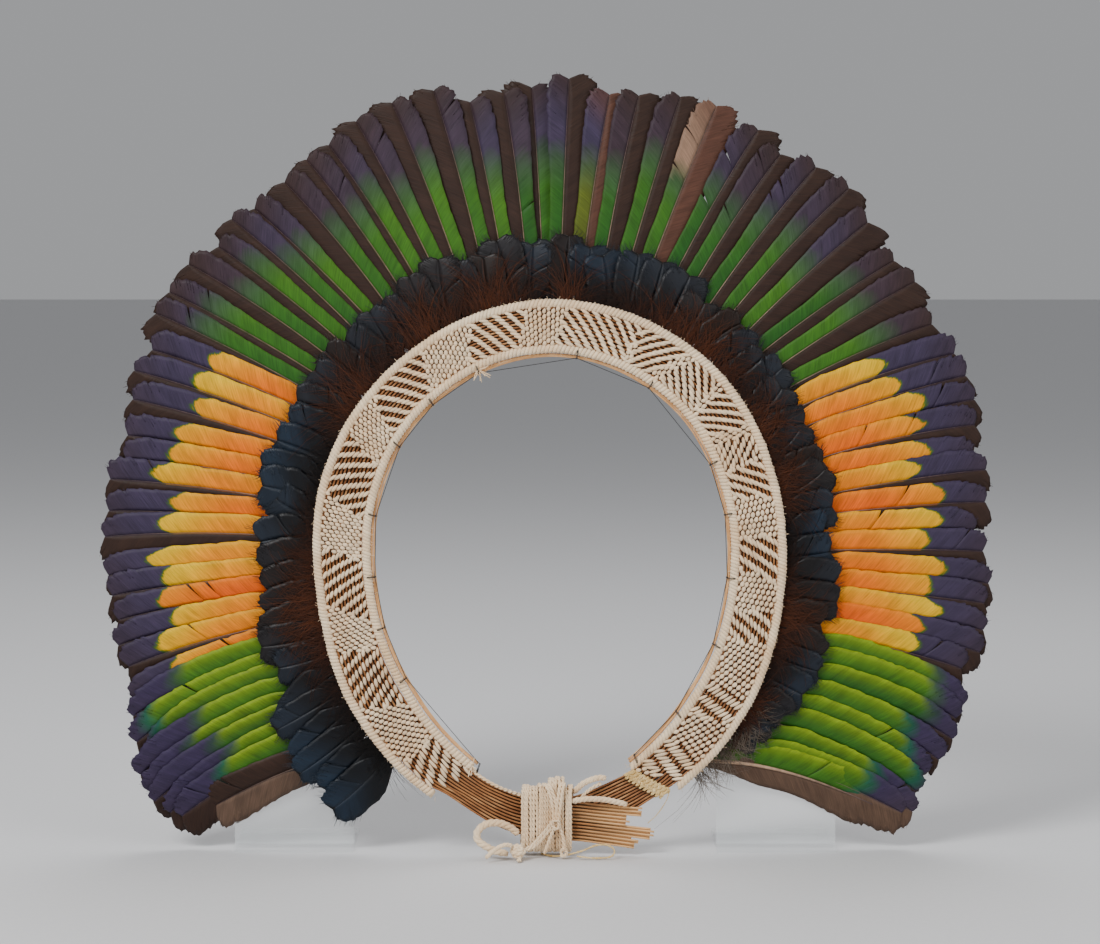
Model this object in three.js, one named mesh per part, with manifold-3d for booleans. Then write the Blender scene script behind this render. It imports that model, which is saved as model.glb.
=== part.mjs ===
// A feather headdress: long flight feathers and short dark feathers round a woven cotton band
// that is tied with cord below, leaning on two clear supports. Millimetres, +Z up, front faces -Y.
import * as THREE from 'three';
import * as BufferGeometryUtils from 'three/addons/utils/BufferGeometryUtils.js';
import Module from 'manifold-3d';

const wasm = await Module();
wasm.setup();

// Overall sizes
const OPENING_RADIUS = 129;
const BAND_WIDTH = 34;
const FEATHER_REACH = 296;
const CENTRE_HEIGHT = 184;
const CENTRE_X = 2;
const PLANE_Y = -10;
const CLEARANCE = 0.3;
const RIM_GAP = 0.5;

// Band: a mat of splints with a cotton weave over it, between two bound rims
const MAT_THICK = 2.2;
const WEAVE_THICK = 1.6;
const RIM_WIDE = 5;
const RIM_DEEP = 5.4;
const HOOP_WIDE = 2.4;
const HOOP_DEEP = 1.8;
const SELVAGE_THICK = 2.4;

// Feathers
const OUTER_VANE = 11;
const INNER_VANE = 18;
const VANE_THICK = 0.9;
const FEATHER_BOW = 4;
const SIDE_CURVE = 1;
const LOW_CURVE = 12;
const COVER_WIDTH = 21;
const COVER_LENGTH = 46;
const COVER_THICK = 0.9;
const QUILL_SEAT = 3;
const LASHING_WIDE = 4;
const LASHING_THICK = 2.4;

// Splint tails, cotton tie and clear supports
const TAILS_WIDE = 23.8;
const TAILS_THICK = 3;
const CORD = 5;
const TIE_DEEP = 18.8;
const TIE_HIGH = 43;
const KNOT = 11;
const FIBRE = 1.6;
const SHEET = 3;
const SUPPORT_WIDE = 75;
const SUPPORT_HIGH = 105;
const SUPPORT_FOOT = 58;
const SUPPORT_LEAN = 6;
// Where the supports' left edges stand and how high the feathers rest on them, as shares of FEATHER_REACH
const SUPPORT_LEFT = -0.6655;
const SUPPORT_RIGHT = 0.358;
const REST_DROP = 0.594;

// Depths, from the face that the feathers spread in
const feathersY = PLANE_Y;
const lashingY = feathersY - 4.2;
const coverLashingY = lashingY - LASHING_THICK - CLEARANCE;
const coverY = feathersY - 5.2;
const rimY = coverLashingY - LASHING_THICK / 2 - CLEARANCE - RIM_DEEP / 2;
const matY = rimY + MAT_THICK / 2;
const weaveY = matY - MAT_THICK / 2 - CLEARANCE - WEAVE_THICK / 2;
const selvageY = weaveY + (WEAVE_THICK - SELVAGE_THICK) / 2;
const supportY = feathersY + FEATHER_BOW + 3.1;

// The band's line: at each bearing from the top, clockwise seen from the front,
// the opening as a share of OPENING_RADIUS and the width as a share of BAND_WIDTH
const bandLine = [
  { bearing: -165, opening: 1.07, width: 0.95 },
  { bearing: -150, opening: 0.985, width: 1.04 },
  { bearing: -130, opening: 0.9, width: 1.11 },
  { bearing: -100, opening: 0.847, width: 1.03 },
  { bearing: -70, opening: 0.874, width: 1.05 },
  { bearing: -40, opening: 0.938, width: 0.97 },
  { bearing: 0, opening: 1, width: 0.96 },
  { bearing: 40, opening: 0.963, width: 1.0 },
  { bearing: 70, opening: 0.9, width: 1.0 },
  { bearing: 100, opening: 0.88, width: 1.0 },
  { bearing: 130, opening: 0.935, width: 1.05 },
  { bearing: 150, opening: 1.01, width: 1.01 },
  { bearing: 165, opening: 1.09, width: 0.95 },
];
const bandEnds = { leftOuter: -154, leftInner: -160, rightOuter: 150, rightInner: 158 };

// Zones of slots in the weave: bearings where a zone starts and ends at the inner and the
// outer side, how far a slot leans over the full width, the step between slots and their width
const slotZones = [
  { inner: [-161.5, -147], outer: [-157, -145], lean: -3, step: 3.3, gap: 1.5 },
  { inner: [-135, -117], outer: [-128.5, -113.5], lean: -4, step: 3.0, gap: 1.5 },
  { inner: [-108, -89.5], outer: [-101, -86], lean: -6, step: 3.0, gap: 1.5 },
  { inner: [-77.5, -60.5], outer: [-72, -57], lean: -5.5, step: 3.0, gap: 1.5 },
  { inner: [-51, -34], outer: [-46, -31], lean: -6.5, step: 3.0, gap: 1.5 },
  { inner: [-22, -7.5], outer: [-17.5, -4.5], lean: -7, step: 2.9, gap: 1.3 },
  { inner: [1.5, 20.5], outer: [5, 22], lean: -8, step: 2.5, gap: 0.9 },
  { inner: [22, 28.5], outer: [21.5, 34], lean: 10, step: 2.6, gap: 0.8 },
  { inner: [31, 44], outer: [35.5, 44], lean: -9, step: 2.5, gap: 0.8 },
  { inner: [45.5, 52], outer: [45.5, 56], lean: 9, step: 2.5, gap: 0.8 },
  { inner: [55, 62.5], outer: [57.5, 62.5], lean: -8, step: 2.4, gap: 0.7 },
  { inner: [64, 71], outer: [64, 73.5], lean: 8, step: 2.8, gap: 1.0 },
  { inner: [83.5, 92], outer: [83, 95.5], lean: 7, step: 3.4, gap: 1.5 },
  { inner: [104, 113], outer: [103.5, 110.5], lean: 5, step: 3.2, gap: 1.5 },
  { inner: [127, 136.5], outer: [124.5, 132], lean: -0.5, step: 3.7, gap: 1.8 },
  { inner: [145, 156], outer: [142.5, 150.5], lean: -1, step: 3.6, gap: 1.5 },
];

// Fans of flight feathers, from the top down each side: how many, the bearings of the first and
// the last at the quill and at the tip, their reach as shares of FEATHER_REACH, the louvre angle
// and how far the fan is set behind the others
const flightFans = [
  { side: -1, count: 1, quill: [0.9, 0.9], tip: [1.9, 1.9], reach: [0.993, 0.993], louvre: 0, set: 3 },
  { side: -1, count: 4, quill: [4.2, 16.8], tip: [5.2, 19], reach: [0.998, 1.0], louvre: 7, set: 0 },
  { side: -1, count: 4, quill: [20.4, 31.6], tip: [23, 35.3], reach: [0.997, 0.99], louvre: 7, set: 0 },
  { side: -1, count: 4, quill: [35.4, 46.2], tip: [39, 49.7], reach: [0.985, 0.97], louvre: 7, set: 0 },
  { side: -1, count: 4, quill: [50, 61.5], tip: [54, 65.5], reach: [0.965, 0.95], louvre: 7, set: 0 },
  { side: -1, count: 4, quill: [65.3, 77], tip: [69.3, 80], reach: [0.955, 0.935], louvre: 7, set: 0 },
  { side: -1, count: 4, quill: [81, 93], tip: [84, 95], reach: [0.935, 0.94], louvre: 7, set: 0 },
  { side: -1, count: 4, quill: [97, 108.5], tip: [98.7, 108.4], reach: [0.935, 0.94], louvre: 8, set: 0 },
  { side: -1, count: 4, quill: [112, 121.3], tip: [111.4, 118.4], reach: [0.95, 0.972], louvre: 10, set: 0 },
  { side: -1, count: 3, quill: [124.4, 130.6], tip: [120.4, 123.6], reach: [0.975, 0.985], louvre: 13, set: 0 },
  { side: -1, count: 2, quill: [134, 139.5], tip: [125.1, 126.8], reach: [0.98, 0.9], louvre: 14, set: 0 },
  { side: 1, count: 4, quill: [2.7, 15.3], tip: [2.3, 16.5], reach: [0.998, 0.997], louvre: 7, set: 0 },
  { side: 1, count: 4, quill: [19.2, 32], tip: [21, 34.8], reach: [1.0, 1.0], louvre: 7, set: 0 },
  { side: 1, count: 5, quill: [36.3, 53.3], tip: [39, 57.7], reach: [0.998, 0.968], louvre: 7, set: 0 },
  { side: 1, count: 4, quill: [57.5, 69], tip: [62.3, 72.3], reach: [0.955, 0.94], louvre: 7, set: 0 },
  { side: 1, count: 4, quill: [72.8, 84.3], tip: [75.8, 85.8], reach: [0.94, 0.925], louvre: 7, set: 0 },
  { side: 1, count: 4, quill: [88, 99.5], tip: [89.3, 99], reach: [0.92, 0.925], louvre: 7, set: 0 },
  { side: 1, count: 4, quill: [103.3, 115], tip: [102.3, 112], reach: [0.93, 0.935], louvre: 8, set: 0 },
  { side: 1, count: 4, quill: [118.8, 130], tip: [114.8, 122.4], reach: [0.942, 0.95], louvre: 11, set: 0 },
  { side: 1, count: 3, quill: [134, 143], tip: [124.2, 126.4], reach: [0.965, 0.9], louvre: 13, set: 1 },
];

// Stations along a flight feather: share of its length, of its vane widths and of its thickness
const flightStations = [
  { along: 0, wide: 0.12, thick: 1.9 },
  { along: 0.32, wide: 0.8, thick: 1.1 },
  { along: 0.62, wide: 1.0, thick: 0.9 },
  { along: 0.92, wide: 0.9, thick: 0.55 },
  { along: 1, wide: 0.2, thick: 0.3 },
];

// Runs of short dark feathers in front of the quills, with their reach past the band's edge
// as shares of COVER_LENGTH
const coverRuns = [
  { side: -1, count: 5, quill: [3.6, 22], reach: [0.78, 0.82] },
  { side: -1, count: 5, quill: [26.6, 46], reach: [0.82, 0.84] },
  { side: -1, count: 5, quill: [50.6, 70], reach: [0.82, 0.78] },
  { side: -1, count: 5, quill: [74.6, 94], reach: [0.7, 0.68] },
  { side: -1, count: 5, quill: [98.6, 118], reach: [0.72, 0.9] },
  { side: -1, count: 5, quill: [122.6, 141], reach: [1.0, 1.1] },
  { side: 1, count: 5, quill: [3.6, 22], reach: [0.78, 0.78] },
  { side: 1, count: 5, quill: [26.6, 46], reach: [0.74, 0.66] },
  { side: 1, count: 5, quill: [50.6, 70], reach: [0.66, 0.7] },
  { side: 1, count: 5, quill: [74.6, 94], reach: [0.64, 0.64] },
  { side: 1, count: 5, quill: [98.6, 118], reach: [0.7, 0.68] },
  { side: 1, count: 3, quill: [122.6, 131], reach: [0.55, 0.3] },
];
const coverStations = [
  { along: 0, wide: 0.12, thick: 1.8 },
  { along: 0.25, wide: 0.7, thick: 1.2 },
  { along: 0.7, wide: 1, thick: 1 },
  { along: 1, wide: 0.86, thick: 0.5 },
];

// Routes of the splint tails from the band's ends, as shares of OPENING_RADIUS right of and above
// the band's centre, with their spread and their place between mat (0) and tie (1)
const leftTails = [
  { right: -0.47, up: -1.05, spread: 0.85, forward: 0 },
  { right: -0.4, up: -1.095, spread: 0.88, forward: 0.1 },
  { right: -0.3, up: -1.155, spread: 1.0, forward: 0.6 },
  { right: -0.17, up: -1.215, spread: 1.05, forward: 1 },
  { right: -0.014, up: -1.25, spread: 1.08, forward: 1 },
  { right: 0.115, up: -1.255, spread: 1.08, forward: 1 },
  { right: 0.25, up: -1.27, spread: 1.12, forward: 1 },
  { right: 0.514, up: -1.3, spread: 1.2, forward: 1 },
];
const rightTails = [
  { right: 0.58, up: -1.0, spread: 0.85, forward: 0 },
  { right: 0.52, up: -1.045, spread: 0.88, forward: 0.1 },
  { right: 0.394, up: -1.12, spread: 1, forward: 0.8 },
  { right: 0.25, up: -1.19, spread: 1, forward: 1 },
  { right: 0.13, up: -1.23, spread: 1, forward: 1 },
  { right: -0.014, up: -1.25, spread: 1, forward: 1 },
];
// The tails in tiers across their width: from, to, and where each is cut on its route
const leftTiers = [
  { from: -0.5, to: -0.25, cut: 0.93 },
  { from: -0.25, to: 0.02, cut: 1 },
  { from: 0.02, to: 0.28, cut: 0.88 },
  { from: 0.28, to: 0.5, cut: 0.94 },
];
const rightTiers = [{ from: -0.5, to: 0.5, cut: 1 }];

// Turns of the tie, from the left: how high each stands as a share of TIE_HIGH
const tieTurns = [
  { high: 1 }, { high: 0.98 }, { high: 1.02 }, { high: 1.1 }, { high: 1.12 }, { high: 1 },
];
const tie = { right: -0.005, up: -1.245 };
const tieFoot = CENTRE_HEIGHT + tie.up * OPENING_RADIUS - TIE_HIGH / 2;

// The free ends of the tie and the fibre loop, as points chosen by hand:
// right of the band's centre, in front of the feathers' face, and above the foot of the tie
const tieEndUpper = [
  [16.2, 10, 37.9],
  [18.4, 11, 40.1],
  [22, 12, 43.6],
  [27, 12.5, 46.1],
  [32, 12.5, 47.4],
  [36, 12.3, 47.1],
];
const tieEndLower = [
  [15.4, 15.6, 33.1],
  [21, 15.8, 34.4],
  [28, 15.8, 34.7],
  [36, 15.6, 34.1],
  [43, 15.2, 32.6],
  [49, 15, 31.1],
];
const tieLoop = [
  [-18.5, 16.4, 13.1],
  [-23, 17, 16.9],
  [-30, 18.5, 20.1],
  [-38, 19.5, 19.7],
  [-43.2, 20.5, 15.6],
  [-43.4, 21.5, 10.3],
  [-38.5, 22.5, 6.4],
  [-32, 23.5, 3.6],
  [-24.8, 24, 2.1],
];
const tieEndFloor = [
  [-22.2, 28.6, 8.1],
  [-26, 30.5, 9.1],
  [-30.5, 31.5, 7.6],
  [-34.5, 32, 4.6],
  [-38, 32.5, 1.3],
];
const fibreLoop = [
  [-4, 9, -1.05],
  [1, 15.5, -1],
  [8, 21.2, 0],
  [15, 21.5, 1.5],
  [22, 22, 3.7],
  [30, 22, 6.9],
  [37.5, 22, 6.9],
  [41.5, 22.5, 3.5],
  [39, 23.5, 0.1],
  [32, 24.2, -0.6],
  [25, 24.6, -0.3],
  [18, 24.8, 0.7],
];
const knotPlace = [-18.5, 26, 4.1];

const rad = THREE.MathUtils.degToRad;
const lerp = THREE.MathUtils.lerp;
const clamp = THREE.MathUtils.clamp;

function finish(name, color, roughness) {
  return new THREE.MeshStandardMaterial({ name, color, roughness, metalness: 0 });
}
const looks = {
  violet: finish('violet_feather', 0x4b4169, 0.6),
  orange: finish('orange_feather', 0xfa960f, 0.6),
  green: finish('green_feather', 0x5f9123, 0.6),
  brown: finish('brown_feather', 0x3c2d26, 0.7),
  dark: finish('dark_feather', 0x1e2837, 0.5),
  cotton: finish('cotton', 0xebd7be, 0.95),
  splint: finish('splint', 0x965528, 0.7),
  cane: finish('cane', 0xdca56e, 0.6),
  clear: new THREE.MeshStandardMaterial({
    name: 'clear_sheet', color: 0xe8eef0, roughness: 0.05, metalness: 0, transparent: true, opacity: 0.3,
  }),
};

// The band's line, read between the rows of its table
function readLine(bearing, column) {
  const last = bandLine.length - 1;
  let row = 0;
  while (row < last - 1 && bandLine[row + 1].bearing < bearing) row += 1;
  const before = bandLine[Math.max(row - 1, 0)];
  const from = bandLine[row];
  const to = bandLine[row + 1];
  const after = bandLine[Math.min(row + 2, last)];
  const t = (bearing - from.bearing) / (to.bearing - from.bearing);
  const span = to.bearing - from.bearing;
  const slopeFrom = (to[column] - before[column]) / (to.bearing - before.bearing);
  const slopeTo = (after[column] - from[column]) / (after.bearing - from.bearing);
  const t2 = t * t;
  const t3 = t2 * t;
  return (2 * t3 - 3 * t2 + 1) * from[column] + (t3 - 2 * t2 + t) * span * slopeFrom
    + (3 * t2 - 2 * t3) * to[column] + (t3 - t2) * span * slopeTo;
}

function bandRadius(bearing, share) {
  return readLine(bearing, 'opening') * OPENING_RADIUS + share * readLine(bearing, 'width') * BAND_WIDTH;
}

function polar(bearing, radius, y) {
  const angle = rad(bearing);
  return new THREE.Vector3(
    CENTRE_X + radius * Math.sin(angle), y, CENTRE_HEIGHT + radius * Math.cos(angle));
}

// Bearings at equal steps, both ends among them
function steps(from, to, count) {
  return Array.from({ length: count + 1 }, (_, i) => lerp(from, to, i / count));
}

// A closed body through sections of equal point counts, with flat ends or closed on itself
function loft(sections, closed = false) {
  const sides = sections[0].length;
  const corners = sections.flat();
  const index = [];
  const last = closed ? sections.length : sections.length - 1;
  for (let i = 0; i < last; i += 1) {
    const a = i * sides;
    const b = ((i + 1) % sections.length) * sides;
    for (let k = 0; k < sides; k += 1) {
      const n = (k + 1) % sides;
      index.push(a + k, a + n, b + n, a + k, b + n, b + k);
    }
  }
  if (!closed) {
    const end = (sections.length - 1) * sides;
    for (let k = 1; k < sides - 1; k += 1) {
      index.push(0, k + 1, k, end, end + k, end + k + 1);
    }
  }
  const geometry = new THREE.BufferGeometry();
  geometry.setAttribute('position', new THREE.Float32BufferAttribute(corners.flatMap((p) => [p.x, p.y, p.z]), 3));
  geometry.setIndex(index);
  return faceOut(geometry);
}

// Turns a closed body's faces outward if they point in
function faceOut(geometry) {
  const place = geometry.attributes.position;
  const index = geometry.index.array;
  let volume = 0;
  for (let i = 0; i < index.length; i += 3) {
    const [a, b, c] = [0, 1, 2].map((k) => new THREE.Vector3().fromBufferAttribute(place, index[i + k]));
    volume += a.dot(b.cross(c));
  }
  if (volume < 0) {
    geometry.setIndex(Array.from(index).reverse());
  }
  return geometry;
}

function plain(geometry) {
  const bare = geometry.clone();
  bare.deleteAttribute('normal');
  bare.deleteAttribute('uv');
  return BufferGeometryUtils.mergeVertices(bare, 1e-4);
}

function toSolid(geometry) {
  const merged = plain(geometry);
  return new wasm.Manifold(new wasm.Mesh({
    numProp: 3,
    vertProperties: new Float32Array(merged.attributes.position.array),
    triVerts: new Uint32Array(merged.index.array),
  }));
}

function fromSolid(solid) {
  const { vertProperties, triVerts } = solid.getMesh();
  const geometry = new THREE.BufferGeometry();
  geometry.setAttribute('position', new THREE.BufferAttribute(vertProperties, 3));
  geometry.setIndex(new THREE.BufferAttribute(triVerts, 1));
  return geometry;
}

function fuse(geometries) {
  return fromSolid(geometries.map(toSolid).reduce((sum, next) => sum.add(next)));
}

function cutOut(geometry, holes) {
  return fromSolid(holes.map(toSolid).reduce((rest, hole) => rest.subtract(hole), toSolid(geometry)));
}

const headdress = new THREE.Group();

function add(name, geometry, material) {
  const mesh = new THREE.Mesh(geometry, material);
  mesh.name = name;
  headdress.add(mesh);
}

// One thin blade: four-sided sections across a line that leaves the band, turned like a louvre
// so that its side towards the top lies in front of the feather above it
function blade(feather, stations) {
  const places = stations.map(({ along }) => feather.at(along));
  return loft(stations.map(({ wide, thick }, i) => {
    const before = places[Math.max(i - 1, 0)];
    const after = places[Math.min(i + 1, places.length - 1)];
    const ahead = after.clone().sub(before).setY(0).normalize();
    const down = new THREE.Vector3(ahead.z, 0, -ahead.x).multiplyScalar(feather.side);
    const lean = rad(feather.louvre);
    const across = down.multiplyScalar(Math.cos(lean)).setY(Math.sin(lean));
    const through = new THREE.Vector3().crossVectors(ahead, across).normalize();
    const half = thick * feather.thick / 2;
    const spine = places[i];
    return [
      spine.clone().addScaledVector(across, -wide * feather.upper),
      spine.clone().addScaledVector(through, half),
      spine.clone().addScaledVector(across, wide * feather.lower),
      spine.clone().addScaledVector(through, -half),
    ];
  }));
}

// The strip of cord that a run of quills is lashed to, behind the band's outer rim
function lashing(side, first, last, y) {
  const inner = LASHING_WIDE + QUILL_SEAT;
  return loft(steps(first, last, 3).map((bearing) => {
    const edge = bandRadius(side * bearing, 1);
    return [
      polar(side * bearing, edge - inner, y - LASHING_THICK / 2),
      polar(side * bearing, edge - QUILL_SEAT, y - LASHING_THICK / 2),
      polar(side * bearing, edge - QUILL_SEAT, y + LASHING_THICK / 2),
      polar(side * bearing, edge - inner, y + LASHING_THICK / 2),
    ];
  }));
}

// Half the room between two neighbouring runs, in degrees of bearing
function halfRoom(run) {
  const pitch = run.count > 1 ? (run.quill[1] - run.quill[0]) / (run.count - 1) : 1.2;
  const seat = THREE.MathUtils.radToDeg(CLEARANCE / OPENING_RADIUS);
  return Math.min(pitch, 3) / 2 - seat;
}

function lashedRun(run, y, feathers, stations) {
  const room = halfRoom(run);
  const strip = lashing(run.side, run.quill[0] - room, run.quill[1] + room, y);
  return fuse([strip, ...feathers.map((feather) => blade(feather, stations))]);
}

// Flight feathers, each line running from its quill's seat to its tip
function flightFeather(fan, i) {
  const share = fan.count > 1 ? i / (fan.count - 1) : 0;
  const quill = lerp(fan.quill[0], fan.quill[1], share);
  const tip = lerp(fan.tip[0], fan.tip[1], share);
  const root = bandRadius(fan.side * quill, 1) - QUILL_SEAT - LASHING_WIDE / 2;
  const reach = lerp(fan.reach[0], fan.reach[1], share) * FEATHER_REACH;
  const rise = feathersY + fan.set - lashingY;
  const curve = lerp(SIDE_CURVE, LOW_CURVE, THREE.MathUtils.smoothstep(quill, 92, 128));
  const middle = fan.side * (quill + tip) / 2;
  // A feather curves up towards the top of the headdress between its quill and its tip
  const lift = new THREE.Vector3(-Math.cos(rad(middle)), 0, Math.sin(rad(middle))).multiplyScalar(fan.side * curve);
  return {
    side: fan.side,
    louvre: fan.louvre,
    thick: VANE_THICK,
    upper: OUTER_VANE,
    lower: INNER_VANE,
    at: (along) => polar(
      fan.side * lerp(quill, tip, along),
      lerp(root, reach, along),
      lashingY + rise * THREE.MathUtils.smoothstep(along, 0, 0.3) + FEATHER_BOW * along * along)
      .addScaledVector(lift, 4 * along * (1 - along)),
  };
}

function fanLook(fan) {
  const middle = (fan.quill[0] + fan.quill[1]) / 2;
  if (middle < 54) return looks.violet;
  if (middle < 110) return looks.orange;
  return middle < 133 ? looks.green : looks.brown;
}

const sideNames = { [-1]: 'left', 1: 'right' };
const counted = { left: 0, right: 0 };
for (const fan of flightFans) {
  const side = sideNames[fan.side];
  counted[side] += 1;
  const feathers = Array.from({ length: fan.count }, (_, i) => flightFeather(fan, i));
  add(`flight_feathers_${side}_${counted[side]}`,
    lashedRun(fan, lashingY, feathers, flightStations), fanLook(fan));
}

// Short dark feathers
function coverFeather(run, i) {
  const share = i / (run.count - 1);
  const quill = lerp(run.quill[0], run.quill[1], share);
  const edge = bandRadius(run.side * quill, 1);
  const root = edge - QUILL_SEAT - LASHING_WIDE / 2;
  const reach = edge + lerp(run.reach[0], run.reach[1], share) * COVER_LENGTH;
  return {
    side: run.side,
    louvre: 7,
    thick: COVER_THICK,
    upper: COVER_WIDTH / 2,
    lower: COVER_WIDTH / 2,
    at: (along) => polar(
      run.side * quill, lerp(root, reach, along),
      lerp(coverLashingY, coverY, THREE.MathUtils.smoothstep(along, 0, 0.5))),
  };
}

const covered = { left: 0, right: 0 };
for (const run of coverRuns) {
  const side = sideNames[run.side];
  covered[side] += 1;
  const feathers = Array.from({ length: run.count }, (_, i) => coverFeather(run, i));
  add(`dark_feathers_${side}_${covered[side]}`,
    lashedRun(run, coverLashingY, feathers, coverStations), looks.dark);
}

// The band's flat layers: an outline between two shares of its width, cut through by slots
const rimShare = RIM_WIDE / BAND_WIDTH;
const gapShare = RIM_GAP / BAND_WIDTH;
const layerShares = { inner: rimShare + gapShare, outer: 1 - rimShare - gapShare };
const RING_STEPS = 34;

function endBearing(end, share) {
  return lerp(bandEnds[`${end}Inner`], bandEnds[`${end}Outer`], share);
}

function flatPoint(bearing, share) {
  const place = polar(bearing, bandRadius(bearing, share), 0);
  return new THREE.Vector2(place.x, place.z);
}

function layerOutline(count) {
  const edge = (share) => steps(endBearing('left', share), endBearing('right', share), count)
    .map((bearing) => flatPoint(bearing, share));
  return new THREE.Shape([...edge(layerShares.outer), ...edge(layerShares.inner).reverse()]);
}

// A slot's two ends, as shares of the patterned width, where its line lies inside the zone
function slotSpan(zone, foot) {
  const inside = steps(0, 1, 20).filter((up) => {
    const bearing = foot + zone.lean * up;
    const from = lerp(zone.inner[0], zone.outer[0], up);
    const to = lerp(zone.inner[1], zone.outer[1], up);
    return bearing > from + zone.gap / 2 && bearing < to - zone.gap / 2;
  });
  return inside.length > 3 ? [inside[0], inside[inside.length - 1]] : null;
}

function zoneSlots(zone) {
  const slots = [];
  const start = Math.min(zone.inner[0], zone.outer[0] - zone.lean);
  const end = Math.max(zone.inner[1], zone.outer[1] - zone.lean);
  for (let foot = start + zone.gap; foot < end; foot += zone.step) {
    const span = slotSpan(zone, foot);
    if (span) slots.push({ foot, lean: zone.lean, gap: zone.gap, low: span[0], high: span[1] });
  }
  return slots;
}

function slotOutline({ foot, lean, gap, low, high }) {
  const edge = 0.035;
  const share = (up) => lerp(layerShares.inner + edge, layerShares.outer - edge, up);
  const corner = (up, offset) => flatPoint(foot + lean * up + offset, share(up));
  return new THREE.Shape([
    corner(low, -gap / 2), corner(low, gap / 2), corner(high, gap / 2), corner(high, -gap / 2)]);
}

// A flat outline given depth, standing upright with its middle at y
function upright(shape, thick, y) {
  const geometry = new THREE.ExtrudeGeometry(shape, { depth: thick, bevelEnabled: false });
  return geometry.rotateX(Math.PI / 2).translate(0, y + thick / 2, 0);
}

const weave = upright(layerOutline(RING_STEPS), WEAVE_THICK, weaveY);
const slots = slotZones.flatMap(zoneSlots)
  .map((slot) => upright(slotOutline(slot), WEAVE_THICK + 2, weaveY));
add('cotton_weave', cutOut(weave, slots), looks.cotton);

// Bound rims and the cane hoop, swept round the band at a share of its width
function oval(wide, deep, sides) {
  return new THREE.Shape(Array.from({ length: sides }, (_, i) => {
    const angle = (i / sides) * 2 * Math.PI;
    return new THREE.Vector2(Math.cos(angle) * wide / 2, Math.sin(angle) * deep / 2);
  }));
}

function ringSweep(share, inset, y, wide, deep, sides, count) {
  const from = endBearing('left', share);
  const to = endBearing('right', share);
  return loft(steps(from, to, count).map((bearing) => {
    const middle = bandRadius(bearing, share) + inset;
    return oval(wide, deep, sides).getPoints()
      .map((p) => polar(bearing, middle + p.x, y + p.y));
  }));
}

add('outer_rim', ringSweep(1, -RIM_WIDE / 2, rimY, RIM_WIDE, RIM_DEEP, 6, RING_STEPS), looks.cotton);
add('inner_rim', ringSweep(0, RIM_WIDE / 2, rimY, RIM_WIDE, RIM_DEEP, 6, RING_STEPS), looks.cotton);
const hoopInset = -(HOOP_WIDE + CLEARANCE) / 2;
add('cane_hoop',
  ringSweep(0, hoopInset, matY + CLEARANCE, HOOP_WIDE, HOOP_DEEP, 4, RING_STEPS), looks.cane);

// The bound selvage across the band's right end
function selvage() {
  const room = 1.5;
  return loft(steps(layerShares.inner, layerShares.outer, 4).map((share) => {
    const bearing = endBearing('right', share) + room;
    return [
      polar(bearing, bandRadius(bearing, share), selvageY - SELVAGE_THICK / 2),
      polar(bearing + 2 * room, bandRadius(bearing + 2 * room, share), selvageY - SELVAGE_THICK / 2),
      polar(bearing + 2 * room, bandRadius(bearing + 2 * room, share), selvageY + SELVAGE_THICK / 2),
      polar(bearing, bandRadius(bearing, share), selvageY + SELVAGE_THICK / 2),
    ];
  }));
}
add('selvage', selvage(), looks.cane);

// Splints: the mat behind the weave, whose splints run on below each end of the band
// in flat tiers, each cut to its own length
const leftTailsY = matY - TAILS_THICK / 2;
const rightTailsY = matY + TAILS_THICK / 2 + CLEARANCE;

function tier(rows, tailsY, { from, to, cut }) {
  const lap = 0.01;
  const spots = rows.map(({ right, up, forward }) => new THREE.Vector3(
    CENTRE_X + right * OPENING_RADIUS, lerp(matY, tailsY, forward), CENTRE_HEIGHT + up * OPENING_RADIUS));
  const forms = rows.map(({ spread, forward }) => new THREE.Vector3(
    spread * TAILS_WIDE, lerp(MAT_THICK - RIM_GAP, TAILS_THICK, forward), 0));
  const line = new THREE.CatmullRomCurve3(spots);
  const form = new THREE.CatmullRomCurve3(forms);
  return loft(steps(0, cut, 10).map((t) => {
    const spine = line.getPoint(t);
    const ahead = line.getTangent(t);
    const up = new THREE.Vector3(-ahead.z, 0, ahead.x).normalize();
    const { x: wide, y: thick } = form.getPoint(t);
    return [[from - lap, -1], [to + lap, -1], [to + lap, 1], [from - lap, 1]].map(([share, face]) => spine
      .clone().addScaledVector(up, share * wide).add(new THREE.Vector3(0, face * thick / 2, 0)));
  }));
}

add('splints', fuse([
  upright(layerOutline(RING_STEPS), MAT_THICK, matY),
  ...leftTiers.map((row) => tier(leftTails, leftTailsY, row)),
  ...rightTiers.map((row) => tier(rightTails, rightTailsY, row)),
]), looks.splint);

// Cotton tie: turns of cord round both bundles of tails, side by side
function tieTurn({ high }, i) {
  const pitch = CORD + CLEARANCE;
  const squareness = 0.5;
  const x = CENTRE_X + tie.right * OPENING_RADIUS + (i - (tieTurns.length - 1) / 2) * pitch;
  const z = tieFoot + high * TIE_HIGH / 2;
  const y = (leftTailsY + rightTailsY) / 2;
  const soften = (value) => Math.sign(value) * Math.abs(value) ** squareness;
  const turn = Array.from({ length: 10 }, (_, k) => ((k + 0.5) / 10) * 2 * Math.PI);
  return loft(turn.map((angle) => Array.from({ length: 6 }, (_, m) => {
    const round = (m / 6) * 2 * Math.PI;
    const out = Math.cos(round) * CORD / 2;
    return new THREE.Vector3(
      x + Math.sin(round) * CORD / 2,
      y + ((TIE_DEEP - CORD) / 2 + out) * soften(Math.cos(angle)),
      z + (high * TIE_HIGH / 2 - CORD / 2 + out) * soften(Math.sin(angle)));
  })), true);
}
tieTurns.forEach((turn, i) => add(`tie_turn_${i + 1}`, tieTurn(turn, i), looks.cotton));

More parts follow.
